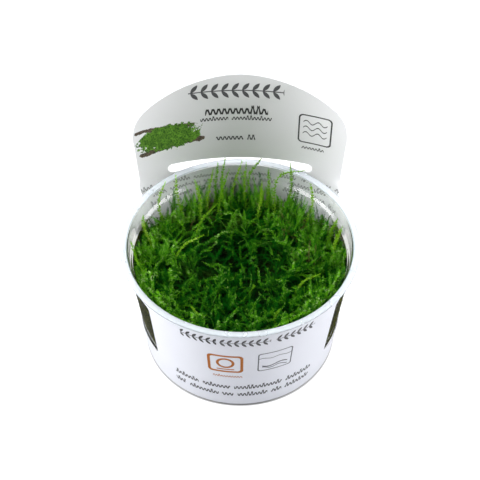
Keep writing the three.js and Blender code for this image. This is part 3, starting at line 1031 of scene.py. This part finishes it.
def leafParts(paths, tangents, across, normals, size, kind, rng):
    # folded leaves in two rows, each a closed sliver of four faces
    count, steps = paths.shape[:2]
    habit = leafHabit
    lengths = np.linalg.norm(np.diff(paths, axis=1), axis=2).sum(1)
    number = 2 * np.maximum((lengths / (kind["gap"] * size)).astype(int), habit["least"])
    owner = np.repeat(np.arange(count), number)
    total = len(owner)
    order = np.arange(total) - np.repeat(np.cumsum(number) - number, number)
    along = (order / 2 + habit["firstAt"]) / (number[owner] / 2 + habit["firstAt"])
    along = np.clip(along + rng.normal(0, habit["scatter"], total), *habit["span"])
    hand = np.where(order % 2 == 0, 1.0, -1.0)[:, None]
    spot = along * (steps - 1)
    low = np.minimum(spot.astype(int), steps - 2)
    part = (spot - low)[:, None]
    base = paths[owner, low] * (1 - part) + paths[owner, low + 1] * part
    forward, up = tangents[owner, low], normals[owner, low]
    outward = unit(across[owner, low] * hand + up * rng.normal(0, habit["roll"], (total, 1)))
    closed = habit["tipAngle"] * smooth(along, habit["closeFrom"], 1)
    lean = np.radians(kind["angle"] + rng.normal(0, habit["angleScatter"], total) - closed)[:, None]
    pointing = forward * np.cos(lean) + outward * np.sin(lean)
    wide = outward * np.cos(lean) - forward * np.sin(lean)
    fold = np.cross(pointing, wide)
    grown = habit["footSize"] + (1 - habit["footSize"]) * smooth(along, 0, habit["fullFrom"])
    grown = size[owner] * grown * (1 - habit["tipLoss"] * smooth(along, habit["shrinkFrom"], 1))
    grown = (grown * rng.uniform(*habit["sizes"], total))[:, None]
    length, keel = kind["length"] * grown, kind["keel"] * grown
    middle = base + pointing * habit["widestAt"] * length + fold * keel
    reach = wide * kind["width"] / 2 * grown
    tip = base + pointing * length + fold * habit["tipKeel"] * keel
    points = np.stack([base, middle + reach, tip, middle - reach], axis=1)
    volume = (np.cross(points[:, 1] - base, tip - base) * (points[:, 3] - base)).sum(-1)
    outside = np.array([(0, 1, 2), (0, 2, 3), (0, 3, 1), (1, 3, 2)])
    triangles = np.where((volume < 0)[:, None, None], outside[None], outside[:, ::-1][None])
    triangles = triangles + (np.arange(total) * 4)[:, None, None]
    share = along[:, None] + np.array(habit["younger"])
    return points, triangles.reshape(-1, 3), share, owner


def meshFromArrays(name, points, triangles, attributes):
    mesh = bpy.data.meshes.new(name)
    mesh.vertices.add(len(points))
    mesh.vertices.foreach_set("co", points.astype(np.float32).ravel())
    mesh.loops.add(triangles.size)
    mesh.loops.foreach_set("vertex_index", triangles.astype(np.int32).ravel())
    mesh.polygons.add(len(triangles))
    mesh.polygons.foreach_set("loop_start", np.arange(0, triangles.size, 3, dtype=np.int32))
    mesh.update(calc_edges=True)
    for key, values in attributes.items():
        store = mesh.attributes.new(key, "FLOAT", "POINT")
        store.data.foreach_set("value", values.astype(np.float32))
    return mesh


# paths are strands x points x 3, sides turn the leaf planes, size scales a strand and tone tints it
def leafyPiece(name, paths, sides, size, tone, kindName, rng, material,
               node="moss_cushion", slot="moss", lit=True):
    kind = leafKinds[kindName]
    tangents = unit(np.gradient(paths, axis=1))
    across = unit(sides[:, None, :] - (sides[:, None, :] * tangents).sum(-1, keepdims=True) * tangents)
    normals = np.cross(tangents, across)
    stems, stemFaces, stemShare = stemParts(paths, across, normals, size, kind)
    blades, bladeFaces, bladeShare, owner = leafParts(paths, tangents, across, normals, size, kind, rng)
    bladeTone = tone[owner] + rng.normal(0, leafHabit["toneScatter"], len(owner))
    stemFreshnessAndPaintedLight, bladeFreshnessAndPaintedLight = freshnessAndPaintedLightAt(stems, stemShare, lit), freshnessAndPaintedLightAt(blades, bladeShare, lit)
    points = np.concatenate([stems.reshape(-1, 3), blades.reshape(-1, 3)]) * mm
    triangles = np.concatenate([stemFaces, bladeFaces + stems.shape[0] * stems.shape[1]])
    attributes = {
        # rise holds the young tips together with the painted light and shade
        "rise": np.concatenate([stemFreshnessAndPaintedLight.ravel(), bladeFreshnessAndPaintedLight.ravel()]),
        "tone": np.concatenate([np.repeat(tone, stems.shape[1]), np.repeat(bladeTone, 4)]),
    }
    piece = bpy.data.objects.new(name, meshFromArrays(name, points, triangles, attributes))
    bpy.context.collection.objects.link(piece)
    piece.data.materials.append(material)
    settle(piece, slot, node)
    if node == "moss_cushion":
        print(name, len(triangles))


# leaf colours: deep is partly painted shade deep in the moss, bright is partly painted light on the lit
# strands, and shine is a painted highlight
leafColors = {
    "moss_leaves": {
        "deep": (0.0, 0.006, 0.0),
        "fresh": (0.0, 0.084, 0.001),
        "bright": (0.155, 0.51, 0.01),
        "shine": (0.5, 0.78, 0.26),
        "brown": (0.055, 0.05, 0.01),
    },
    "young_leaves": {
        "deep": (0.015, 0.1, 0.002),
        "fresh": (0.08, 0.28, 0.006),
        "bright": (0.22, 0.48, 0.015),
        "shine": (0.46, 0.7, 0.12),
        "brown": (0.1, 0.09, 0.02),
    },
    "pressed_leaves": {
        "deep": (0.045, 0.05, 0.005),
        "fresh": (0.15, 0.165, 0.016),
        "bright": (0.17, 0.2, 0.02),
        "shine": (0.2, 0.22, 0.05),
        "brown": (0.12, 0.09, 0.02),
    },
    "old_leaves": {
        "deep": (0.03, 0.026, 0.008),
        "fresh": (0.1, 0.088, 0.024),
        "bright": (0.17, 0.17, 0.05),
        "shine": (0.3, 0.3, 0.15),
        "brown": (0.1, 0.07, 0.03),
    },
}


def mossLeaves(name, colors):
    material, tree, shader = newMaterial(name, Roughness=0.6, Specular_IOR_Level=0.06)
    place = millimetrePlace(tree)
    rise = addNode(tree, "ShaderNodeAttribute", attribute_name="rise").outputs["Fac"]
    tone = addNode(tree, "ShaderNodeAttribute", attribute_name="tone").outputs["Fac"]
    patch = noiseAt(tree, place, 0.07)
    speckle = noiseAt(tree, place, 1.3)
    # rise and speckle choose between deep, fresh and bright: partly the leaves' own age, partly painted
    # light and shade
    freshAndPaintedLight = calc(tree, "ADD", rise, remap(tree, speckle, 0.3, 0.7, -0.12, 0.12))
    color = blendColors(tree, remap(tree, freshAndPaintedLight, 0.12, 0.6), colors["deep"], colors["fresh"])
    top = times(tree, remap(tree, freshAndPaintedLight, 0.6, 0.98), remap(tree, tone, 0.3, 0.95))
    color = blendColors(tree, top, color, colors["bright"])
    # painted highlight: some leaves of the freshest strands are coloured pale, as where they catch the
    # light
    paintedGlint = times(tree, remap(tree, noiseAt(tree, place, 0.95, 0.0), 0.56, 0.68),
                  remap(tree, freshAndPaintedLight, 0.6, 1.05), remap(tree, tone, 0.6, 1.0))
    color = blendColors(tree, paintedGlint, color, colors["shine"])
    # old strands turn brown in patches, more so towards the back
    behind = remap(tree, splitPlace(tree, place)[1], -12, 14, 0.25, 1.0)
    dull = times(tree, remap(tree, patch, 0.52, 0.68, 0, 0.85), remap(tree, tone, 0.8, 0.1), behind)
    color = blendColors(tree, dull, color, colors["brown"])
    tree.links.new(color, shader.inputs["Base Color"])
    addBump(tree, shader, speckle, 0.3, 0.05)
    return material


bed = {  # the dark mass under the strands, coloured near black as painted shade deep in the moss
    "sides": 96,
    "bottom": (2.2, 1.9),  # its height, and how far it starts inside the cup's inner foot
    "wallRows": (3.4, 2.1),  # height of the first and gap between them
    "climb": [(36, 20), (47.6, 2)],  # how high it touches the wall, from which Y on
    "cover": (0.995, 0.03, 36),  # the first and last ring's share of the radius, and how many
    "coverAt": 40,  # the height at which that radius is read
    "drop": 5.5,  # how far its middle lies below the moss
    "edgeRise": 0.85,  # the share of that drop that is gone at the wall
    "edge": (36, 41.6),
    "lump": 1.3,
    "lumpScales": (0.35, 0.9),
    "fineLump": 0.5,
    "smoothAngle": 60,
    "wet": 0.04,  # the wet moss sits in the face of the clear wall, so no air shows between them
    "paintedShades": ((0.001, 0.005, 0.001), (0.006, 0.03, 0.002)),
    "brown": (0.018, 0.016, 0.004),
    "paintedLightGreen": (0.012, 0.1, 0.002),  # painted light: greener where light comes in beside the wall
    "greenFrom": (36, 41),
    "greenTo": 42.5,
    "greenHeights": (38, 43),
}


def bedMaterial():
    material, tree, shader = newMaterial("moss_shade", Roughness=0.85, Specular_IOR_Level=0.1)
    place = millimetrePlace(tree)
    fine = noiseAt(tree, place, 0.9, 4.0, 0.7)
    patch = noiseAt(tree, place, 0.12)
    # painted shade: the bed is coloured near black
    color = blendColors(tree, remap(tree, fine, 0.35, 0.7), *bed["paintedShades"])
    color = blendColors(tree, remap(tree, patch, 0.55, 0.75, 0, 0.6), color, bed["brown"])
    x, y, z = splitPlace(tree, place)
    radius = vectorCalc(tree, "LENGTH", joinPlace(tree, x, y))
    edge = times(tree, remap(tree, radius, *bed["greenFrom"]), below(tree, radius, bed["greenTo"]),
                 remap(tree, z, *bed["greenHeights"]), remap(tree, fine, 0.35, 0.6, 0.2, 1))
    color = blendColors(tree, edge, color, bed["paintedLightGreen"])
    tree.links.new(color, shader.inputs["Base Color"])
    addBump(tree, shader, fine, 1.0, 1.2)
    return material


def makeBed():
    (low, behind), (high, before) = bed["climb"]
    bottom, inset = bed["bottom"]
    foot, rowGap = bed["wallRows"]
    coverMark = 100  # the cover is spun up here, and lowered onto the moss afterwards
    wall = [(innerRadius(z) + bed["wet"], z) for z in np.arange(foot, low, rowGap)]
    cover = [(part * innerRadius(bed["coverAt"]), coverMark) for part in np.linspace(*bed["cover"])]
    edgeRadius = innerRadius(cup["innerFootHeight"]) - inset
    profile = [(0, bottom), (edgeRadius, bottom), *wall, *cover, (0, coverMark)]
    piece = turnProfile("moss_bed", profile, bed["sides"])
    coarse, fine = bed["lumpScales"]
    for vertex in piece.data.vertices:
        x, y, z = vertex.co / mm
        radius = math.hypot(x, y)
        place = Vector((x, y, z))
        lump = noise.noise(place * coarse) + bed["fineLump"] * noise.noise(place * fine)
        if z > coverMark / 2:
            edge = smooth(radius, *bed["edge"])
            drop = bed["drop"] * (1 - bed["edgeRise"] * edge)
            vertex.co.z = (float(mossTop(x, y)) - drop + (bed["lump"] - edge) * lump) * mm
        elif z > bottom + 1:
            top = high + (low - high) * smooth(y, before, behind)
            z = foot + (z - foot) * (top - foot) / (low - foot)
            grown = (innerRadius(z) + bed["wet"]) / radius
            vertex.co = Vector((x * grown, y * grown, z)) * mm
    pick(piece)
    bpy.ops.object.shade_smooth_by_angle(angle=math.radians(bed["smoothAngle"]))
    piece.data.materials.append(bedMaterial())
    settle(piece, "moss", "moss_cushion")
    print("bed", len(piece.data.polygons))


def bentPaths(feet, headings, lengths, bends, points=9):
    # each strand leaves its foot along its heading and bends as it grows
    share = np.linspace(0, 1, points)[None, :, None]
    reach = lengths[:, None, None]
    return feet[:, None, :] + reach * (share * headings[:, None, :] + share ** 2 * bends[:, None, :])


def headingsFrom(lift, turn):
    level = np.cos(lift)
    return np.stack([level * np.sin(turn), level * np.cos(turn), np.sin(lift)], axis=1)


# the shaded layer's low tones colour its leaves darker and browner: partly old moss, partly painted shade
# under the open layer
tangle = {
    "shaded": {"strands": 1000, "lengths": (9, 16), "depth": (4, 9), "lift": (0, 50), "proud": -1.5,
               "tone": (0, 0.35), "size": (0.85, 1.1)},
    "open": {"strands": 1150, "lengths": (9, 17), "depth": (1.5, 5), "lift": (10, 80), "proud": 3.2,
             "tone": (0.1, 1), "size": (0.8, 1.2)},
}

strandHabit = {
    "radius": 40.4,  # how far out the feet stand
    "bend": 0.22,
    "droop": (-0.4, 0.25),
    "uneven": 1.5,  # in how far a strand may stand proud
    "bow": 0.75,  # the share of what stands too proud that is taken off
}

# place and radius of the dark hollows, where few strands stand
hollows = [(-10.5, 6.6, 8), (-26, -9, 8.5), (10, -4, 7), (2, -19, 5), (24, -14, 6), (-3, -5, 6)]
hollowShare = 0.85

risers = {  # upright strands that line the wall, most of them at the back
    "strands": 150,
    "lengths": (9, 18),
    "radius": (32, 40.3),
    "spread": 62,  # degrees round from the back, as a standard deviation
    "highest": 54,
    "bow": 0.8,  # the share of what stands higher that is taken off
    "lowStrands": 400,  # a shorter fringe all round the wall
    "lowLengths": (6, 11),
    "lowRadius": (39, 42),
    "wallGap": 0.7,
    "backLonger": 3,
    "backFrom": (5, 25),  # along Y
    "depth": 3.5,
    "lift": (70, 90),
    "bend": 0.1,
    "turnScatter": (0.5, 0.2),  # of the leaf planes, along Y and up
    "size": (0.85, 1.15),
    "tone": (0.15, 1.1),
}

lyingHabit = {
    "rise": 2.2,  # over the moss
    "hump": 1.4,  # more between their ends
    "points": 15,
    "waver": 0.07,
    "turn": (0.3, 0.6, 0.2),
    "turnScatter": 0.4,
    "size": (0.95, 1.1),
    "tone": 1.1,
}

lying = [  # long bright strands that lie across the top, as points on the plan
    [(-20.9, 3.3), (-14.8, 6.2), (-10.5, 9.7), (-6.6, 14.8), (-0.3, 17.7)],
    [(-29.1, 0.4), (-25.7, 5.1), (-21.3, 11.9)],
    [(-12.7, 22.1), (-8.9, 25.5), (-4.1, 31.2)],
    [(6.3, 13.8), (10, 17), (14.7, 17.8)],
    [(-27.9, -8.7), (-25.3, -8.9), (-23, -8.1)],
    [(-11.8, -19.2), (-7.8, -17.2), (-4.2, -15)],
    [(-32.3, -1.1), (-33.6, -10), (-34.3, -20.8)],
    [(-12.4, -5.4), (-10, -5), (-7.2, -3.2)],
    [(22.1, -21.7), (28, -20.6), (33.9, -18.6)],
    [(20, 8), (26, 3), (31, 4)],
    [(3.5, -2), (4.5, 0.9), (6.7, 2.7)],
    [(3, -3), (4.5, -9), (4, -15.7)],
    [(-21, -23.8), (-17.6, -25), (-14.3, -23.8)],
    [(13.8, -33), (15.7, -28.8), (17.5, -24.4)],
    [(15.5, -20.5), (17.6, -18.6), (19.7, -17)],
    [(10.2, -16.1), (11.1, -13.8), (12.2, -9.9)],
    [(-40.4, -4), (-39, -12), (-35.5, -20.5)],
    [(-37, -17.5), (-32, -25.5), (-25.5, -32)],
    [(-29, -29.5), (-22, -35), (-13, -38.8)],
    [(39, -12), (35.5, -20), (30, -27.5)],
    [(27.5, -30), (20.5, -35.3), (11.5, -39)],
]

oldStems = {  # brown stems show in a few places, given on the plan
    "places": [(-25.6, 24.8), (-21.8, 35), (-13, 33), (22.2, 16.4), (19.3, 24.3), (28.1, 1.5),
               (11.5, 38), (31, 13)],
    "each": 9,
    "spread": 2.6,
    "depth": 2,
    "lift": (35, 88),
    "lengths": (5, 9),
    "bend": 0.12,
    "size": (0.7, 0.95),
    "tone": (0.3, 0.8),
}


def tangleStrands(layer, rng):
    habit = strandHabit
    radius = habit["radius"] * np.sqrt(rng.uniform(0, 1, layer["strands"]))
    around = rng.uniform(0, fullTurn, layer["strands"])
    x, y = radius * np.sin(around), radius * np.cos(around)
    if layer["proud"] > 0:
        bare = sum(np.exp(-((x - hx) ** 2 + (y - hy) ** 2) / size ** 2) for hx, hy, size in hollows)
        standing = rng.uniform(0, 1, len(x)) > hollowShare * bare
        x, y = x[standing], y[standing]
    count = len(x)
    feet = np.stack([x, y, mossTop(x, y) - rng.uniform(*layer["depth"], count)], axis=1)
    lift = np.radians(rng.uniform(*layer["lift"], count))
    headings = headingsFrom(lift, rng.uniform(0, fullTurn, count))
    bends = rng.normal(0, habit["bend"], (count, 3))
    bends[:, 2] = rng.uniform(*habit["droop"], count)
    paths = bentPaths(feet, headings, rng.uniform(*layer["lengths"], count), bends)
    # strands that stand too proud of the cushion bow over
    proud = layer["proud"] + rng.uniform(-habit["uneven"], habit["uneven"], count)[:, None]
    ceiling = mossTop(paths[..., 0], paths[..., 1]) + proud
    paths[..., 2] -= np.maximum(paths[..., 2] - ceiling, 0) * habit["bow"]
    sides = unit(rng.normal(0, 1, (count, 3)))
    return keepInside(paths), sides


def riserStrands(rng):
    habit = risers
    tall, low = habit["strands"], habit["lowStrands"]
    count = tall + low
    turn = np.concatenate([np.radians(rng.normal(0, habit["spread"], tall)), rng.uniform(0, fullTurn, low)])
    radius = np.concatenate([rng.uniform(*habit["radius"], tall), rng.uniform(*habit["lowRadius"], low)])
    lengths = np.concatenate([rng.uniform(*habit["lengths"], tall), rng.uniform(*habit["lowLengths"], low)])
    x, y = radius * np.sin(turn), radius * np.cos(turn)
    lengths += habit["backLonger"] * smooth(y, *habit["backFrom"])
    feet = np.stack([x, y, mossTop(x, y) - habit["depth"]], axis=1)
    lift = np.radians(rng.uniform(*habit["lift"], count))
    headings = headingsFrom(lift, rng.uniform(0, fullTurn, count))
    paths = bentPaths(feet, headings, lengths, rng.normal(0, habit["bend"], (count, 3)))
    paths[..., 2] -= np.maximum(paths[..., 2] - habit["highest"], 0) * habit["bow"]
    scattered = [rng.normal(0, scatter, count) for scatter in habit["turnScatter"]]
    sides = unit(np.stack([np.ones(count), *scattered], axis=1))
    return keepInside(paths, habit["wallGap"]), sides


def lyingStrands(rng):
    habit = lyingHabit
    paths = []
    for plan in lying:
        spine = np.array([(x, y, float(mossTop(x, y)) + habit["rise"]) for x, y in plan])
        spine[1:-1, 2] += habit["hump"]
        drawn = splinePoints(spine, 6)
        spots = np.linspace(0, len(drawn) - 1, habit["points"])
        paths.append([drawn[int(round(spot))] for spot in spots])
    paths = np.array(paths)
    paths += rng.normal(0, habit["waver"], paths.shape)
    sides = rng.normal(0, habit["turnScatter"], (len(paths), 3)) + np.array(habit["turn"])
    return keepInside(paths), unit(sides)


def makeOldStems(rng, material):
    places = np.repeat(np.array(oldStems["places"], float), oldStems["each"], axis=0)
    count = len(places)
    x, y = (places + rng.normal(0, oldStems["spread"], places.shape)).T
    feet = np.stack([x, y, mossTop(x, y) - oldStems["depth"]], axis=1)
    lift = np.radians(rng.uniform(*oldStems["lift"], count))
    headings = headingsFrom(lift, rng.uniform(0, fullTurn, count))
    lengths = rng.uniform(*oldStems["lengths"], count)
    paths = keepInside(bentPaths(feet, headings, lengths, rng.normal(0, oldStems["bend"], (count, 3))))
    sides = unit(rng.normal(0, 1, (count, 3)))
    size, tone = rng.uniform(*oldStems["size"], count), rng.uniform(*oldStems["tone"], count)
    leafyPiece("moss_old_stems", paths, sides, size, tone, "tangle", rng, material)


def makeTangle(rng, material):
    for name, layer in tangle.items():
        paths, sides = tangleStrands(layer, rng)
        size = rng.uniform(*layer["size"], len(paths))
        tone = rng.uniform(*layer["tone"], len(paths))
        atBack = paths[:, 0, 1] > 0
        for part, chosen in (("back", atBack), ("front", ~atBack)):
            strands = [values[chosen] for values in (paths, sides, size, tone)]
            leafyPiece(f"moss_{name}_{part}", *strands, "tangle", rng, material)
    paths, sides = riserStrands(rng)
    size, tone = rng.uniform(*risers["size"], len(paths)), rng.uniform(*risers["tone"], len(paths))
    leafyPiece("moss_risers", paths, sides, size, tone, "tangle", rng, material)
    paths, sides = lyingStrands(rng)
    size, tone = rng.uniform(*lyingHabit["size"], len(paths)), np.full(len(paths), lyingHabit["tone"])
    leafyPiece("moss_runners", paths, sides, size, tone, "tangle", rng, material)


# Moss pressed flat against the clear wall, as it shows through the side windows.
wallMoss = {
    "strands": 380,
    "lengths": (9, 17),
    "spread": (-31, 19),  # along Y
    "heights": (14, 46),
    "lean": 0.6,  # from upright, as a standard deviation
    "curl": 0.5,
    "ends": (3.6, 47),  # no strand reaches lower or higher
    "sunk": (0.1, 0.32),  # how far the strands lie in the face of the clear wall
    "turnRadius": 40,  # lays the leaf planes along the wall
    "size": (0.85, 1.15),
    "tone": (0, 0.6),
}


def makeWallMoss(rng, material):
    for side, part in ((1, "right"), (-1, "left")):
        count = wallMoss["strands"]
        y = rng.uniform(*wallMoss["spread"], count)
        z = rng.uniform(*wallMoss["heights"], count)
        heading = rng.normal(math.pi / 2, wallMoss["lean"], count)
        lengths = rng.uniform(*wallMoss["lengths"], count)[:, None]
        share = np.linspace(-0.5, 0.5, 9)[None, :]
        turned = heading[:, None] + rng.normal(0, wallMoss["curl"], count)[:, None] * share
        along = y[:, None] + lengths * share * np.cos(turned)
        up = np.clip(z[:, None] + lengths * share * np.sin(turned), *wallMoss["ends"])
        reach = innerRadius(up) + rng.uniform(*wallMoss["sunk"], count)[:, None]
        across = side * np.sqrt(np.maximum(reach ** 2 - along ** 2, 1))
        paths = np.stack([across, along, up], axis=2)
        inward = -np.sin(heading) * y / wallMoss["turnRadius"]
        sides = unit(np.stack([inward, -np.sin(heading), np.cos(heading)], axis=1))
        size, tone = rng.uniform(*wallMoss["size"], count), rng.uniform(*wallMoss["tone"], count)
        leafyPiece(f"moss_wall_{part}", paths, sides, size, tone, "tangle", rng, material, lit=False)


# A tuft: a few sprigs that spread from one root, each with side branches that shorten towards its tip.
tuft = {
    "sprigs": 6,
    "height": 12.2,
    "heights": (0.7, 1.0),  # shares of that height
    "branches": 5,
    "branchSpan": (0.25, 0.6),  # where the lowest leaves the sprig, and how far up they spread
    "branchShare": 0.34,
    "branchTaper": 1.15,
    "branchTurn": 0.75,
    "branchBend": 0.25,
    "depth": 3.0,
    "rootRadius": 0.6,
    "firstLean": (0.08, 0.2),  # in radians, for the sprig in the middle
    "lean": (0.25, 0.6),
    "bends": (-0.1, 0.2),
    "spacing": 0.25,  # how unevenly the sprigs stand round their root
    "turnScatter": 0.3,
    "size": (0.8, 1.0),
    "tone": (0.2, 0.8),
}


def sprigPaths(foot, heading, side, height, bend):
    main = bentPaths(foot[None], heading[None], np.array([height]), bend[None])[0]
    paths, planes = [main], [side]
    branches = tuft["branches"]
    lowest, spread = tuft["branchSpan"]
    for k in range(branches):
        share = lowest + spread * k / branches
        at = share * (len(main) - 1)
        low = int(at)
        base = main[low] * (1 - at + low) + main[low + 1] * (at - low)
        forward = unit(main[low + 1] - main[low])
        turn = tuft["branchTurn"] if k % 2 else -tuft["branchTurn"]
        way = unit(forward + turn * side)
        length = height * tuft["branchShare"] * (tuft["branchTaper"] - share)
        bent = forward[None] * tuft["branchBend"]
        paths.append(bentPaths(base[None], way[None], np.array([length]), bent)[0])
        planes.append(np.cross(way, np.cross(forward, side)))
    return paths, planes


def makeTufts(rng, material):
    for index, (x, y) in enumerate(tufts):
        foot = np.array([x, y, float(cushionTop(x, y)) - tuft["depth"]])
        paths, planes = [], []
        for k in range(tuft["sprigs"]):
            shift = rng.uniform(-tuft["spacing"], tuft["spacing"])
            turn = fullTurn * (k + shift) / tuft["sprigs"] + index
            lean = rng.uniform(*tuft["firstLean" if k == 0 else "lean"])
            out = np.array([math.sin(turn), math.cos(turn), 0])
            heading = out * math.sin(lean) + np.array([0, 0, math.cos(lean)])
            level = np.array([math.cos(turn), -math.sin(turn), 0])
            side = unit(level + rng.normal(0, tuft["turnScatter"], 3))
            height = tuft["height"] * rng.uniform(*tuft["heights"]) + tuft["depth"]
            bend = out * rng.uniform(*tuft["bends"])
            start = foot + out * tuft["rootRadius"]
            morePaths, morePlanes = sprigPaths(start, heading, side, height, bend)
            paths += morePaths
            planes += morePlanes
        paths = keepInside(np.array(paths))
        size, tone = rng.uniform(*tuft["size"], len(paths)), rng.uniform(*tuft["tone"], len(paths))
        number = f"{index + 1:02d}"
        leafyPiece("tuft_sprigs_" + number, paths, np.array(planes), size, tone, "sprig", rng, material,
                   node="moss_tuft_" + number)
    print("tufts", len(tufts))


shootHabit = {
    "depth": 3.5,
    "knee": 1,  # the height over the cushion from which it leans
    "turnScatter": (0.4, 0.2),  # of the leaf plane, along Y and up
    "liftedTilt": 0.09,  # turns the leaves of an arched shoot up, for each millimetre of its arch
    "tone": (0.55, 1.0),
    "finerBelow": 57.2,  # shoots with lower tips are slimmer
    "finerSize": 0.72,
}


def shootPath(foot, tip, bow, lift=1):
    ground = float(cushionTop(*foot))
    low = np.array([*foot, ground - shootHabit["depth"]])
    knee = np.array([*foot, ground + shootHabit["knee"]])
    top = np.array(tip, float)
    middle = (knee + top) / 2 + np.array([bow, 0, lift])
    return splinePoints([low, knee, middle, top], 8)


def makeShoots(rng, material):
    habit = shootHabit
    for index, (foot, tip, *bows) in enumerate(shoots):
        path = shootPath(foot, tip, *bows)
        tilt = habit["liftedTilt"] * bows[1] if len(bows) > 1 else 0
        turnY, turnUp = [rng.normal(0, scatter) for scatter in habit["turnScatter"]]
        side = unit(np.array([1.0, turnY, turnUp + tilt]))
        tone = np.array([rng.uniform(*habit["tone"])])
        size = np.array([1.0 if tip[2] > habit["finerBelow"] else habit["finerSize"]])
        number = f"{index + 1:02d}"
        leafyPiece("shoot_leaves_" + number, path[None], side[None], size, tone, "shoot", rng, material,
                   node="moss_shoot_" + number, slot="moss_shoot")
    print("shoots", len(shoots))


def makeMoss():
    rng = np.random.default_rng(moss["seed"])
    leaves = {name: mossLeaves(name, colors) for name, colors in leafColors.items()}
    makeBed()
    makeOldStems(np.random.default_rng(moss["seed"] + 1), leaves["old_leaves"])
    makeTangle(rng, leaves["moss_leaves"])
    makeWallMoss(rng, leaves["pressed_leaves"])
    makeTufts(rng, leaves["moss_leaves"])
    makeShoots(rng, leaves["young_leaves"])


makeCamera()
makeStudio()
makeCup()
makeSleeve()
makeMoss()
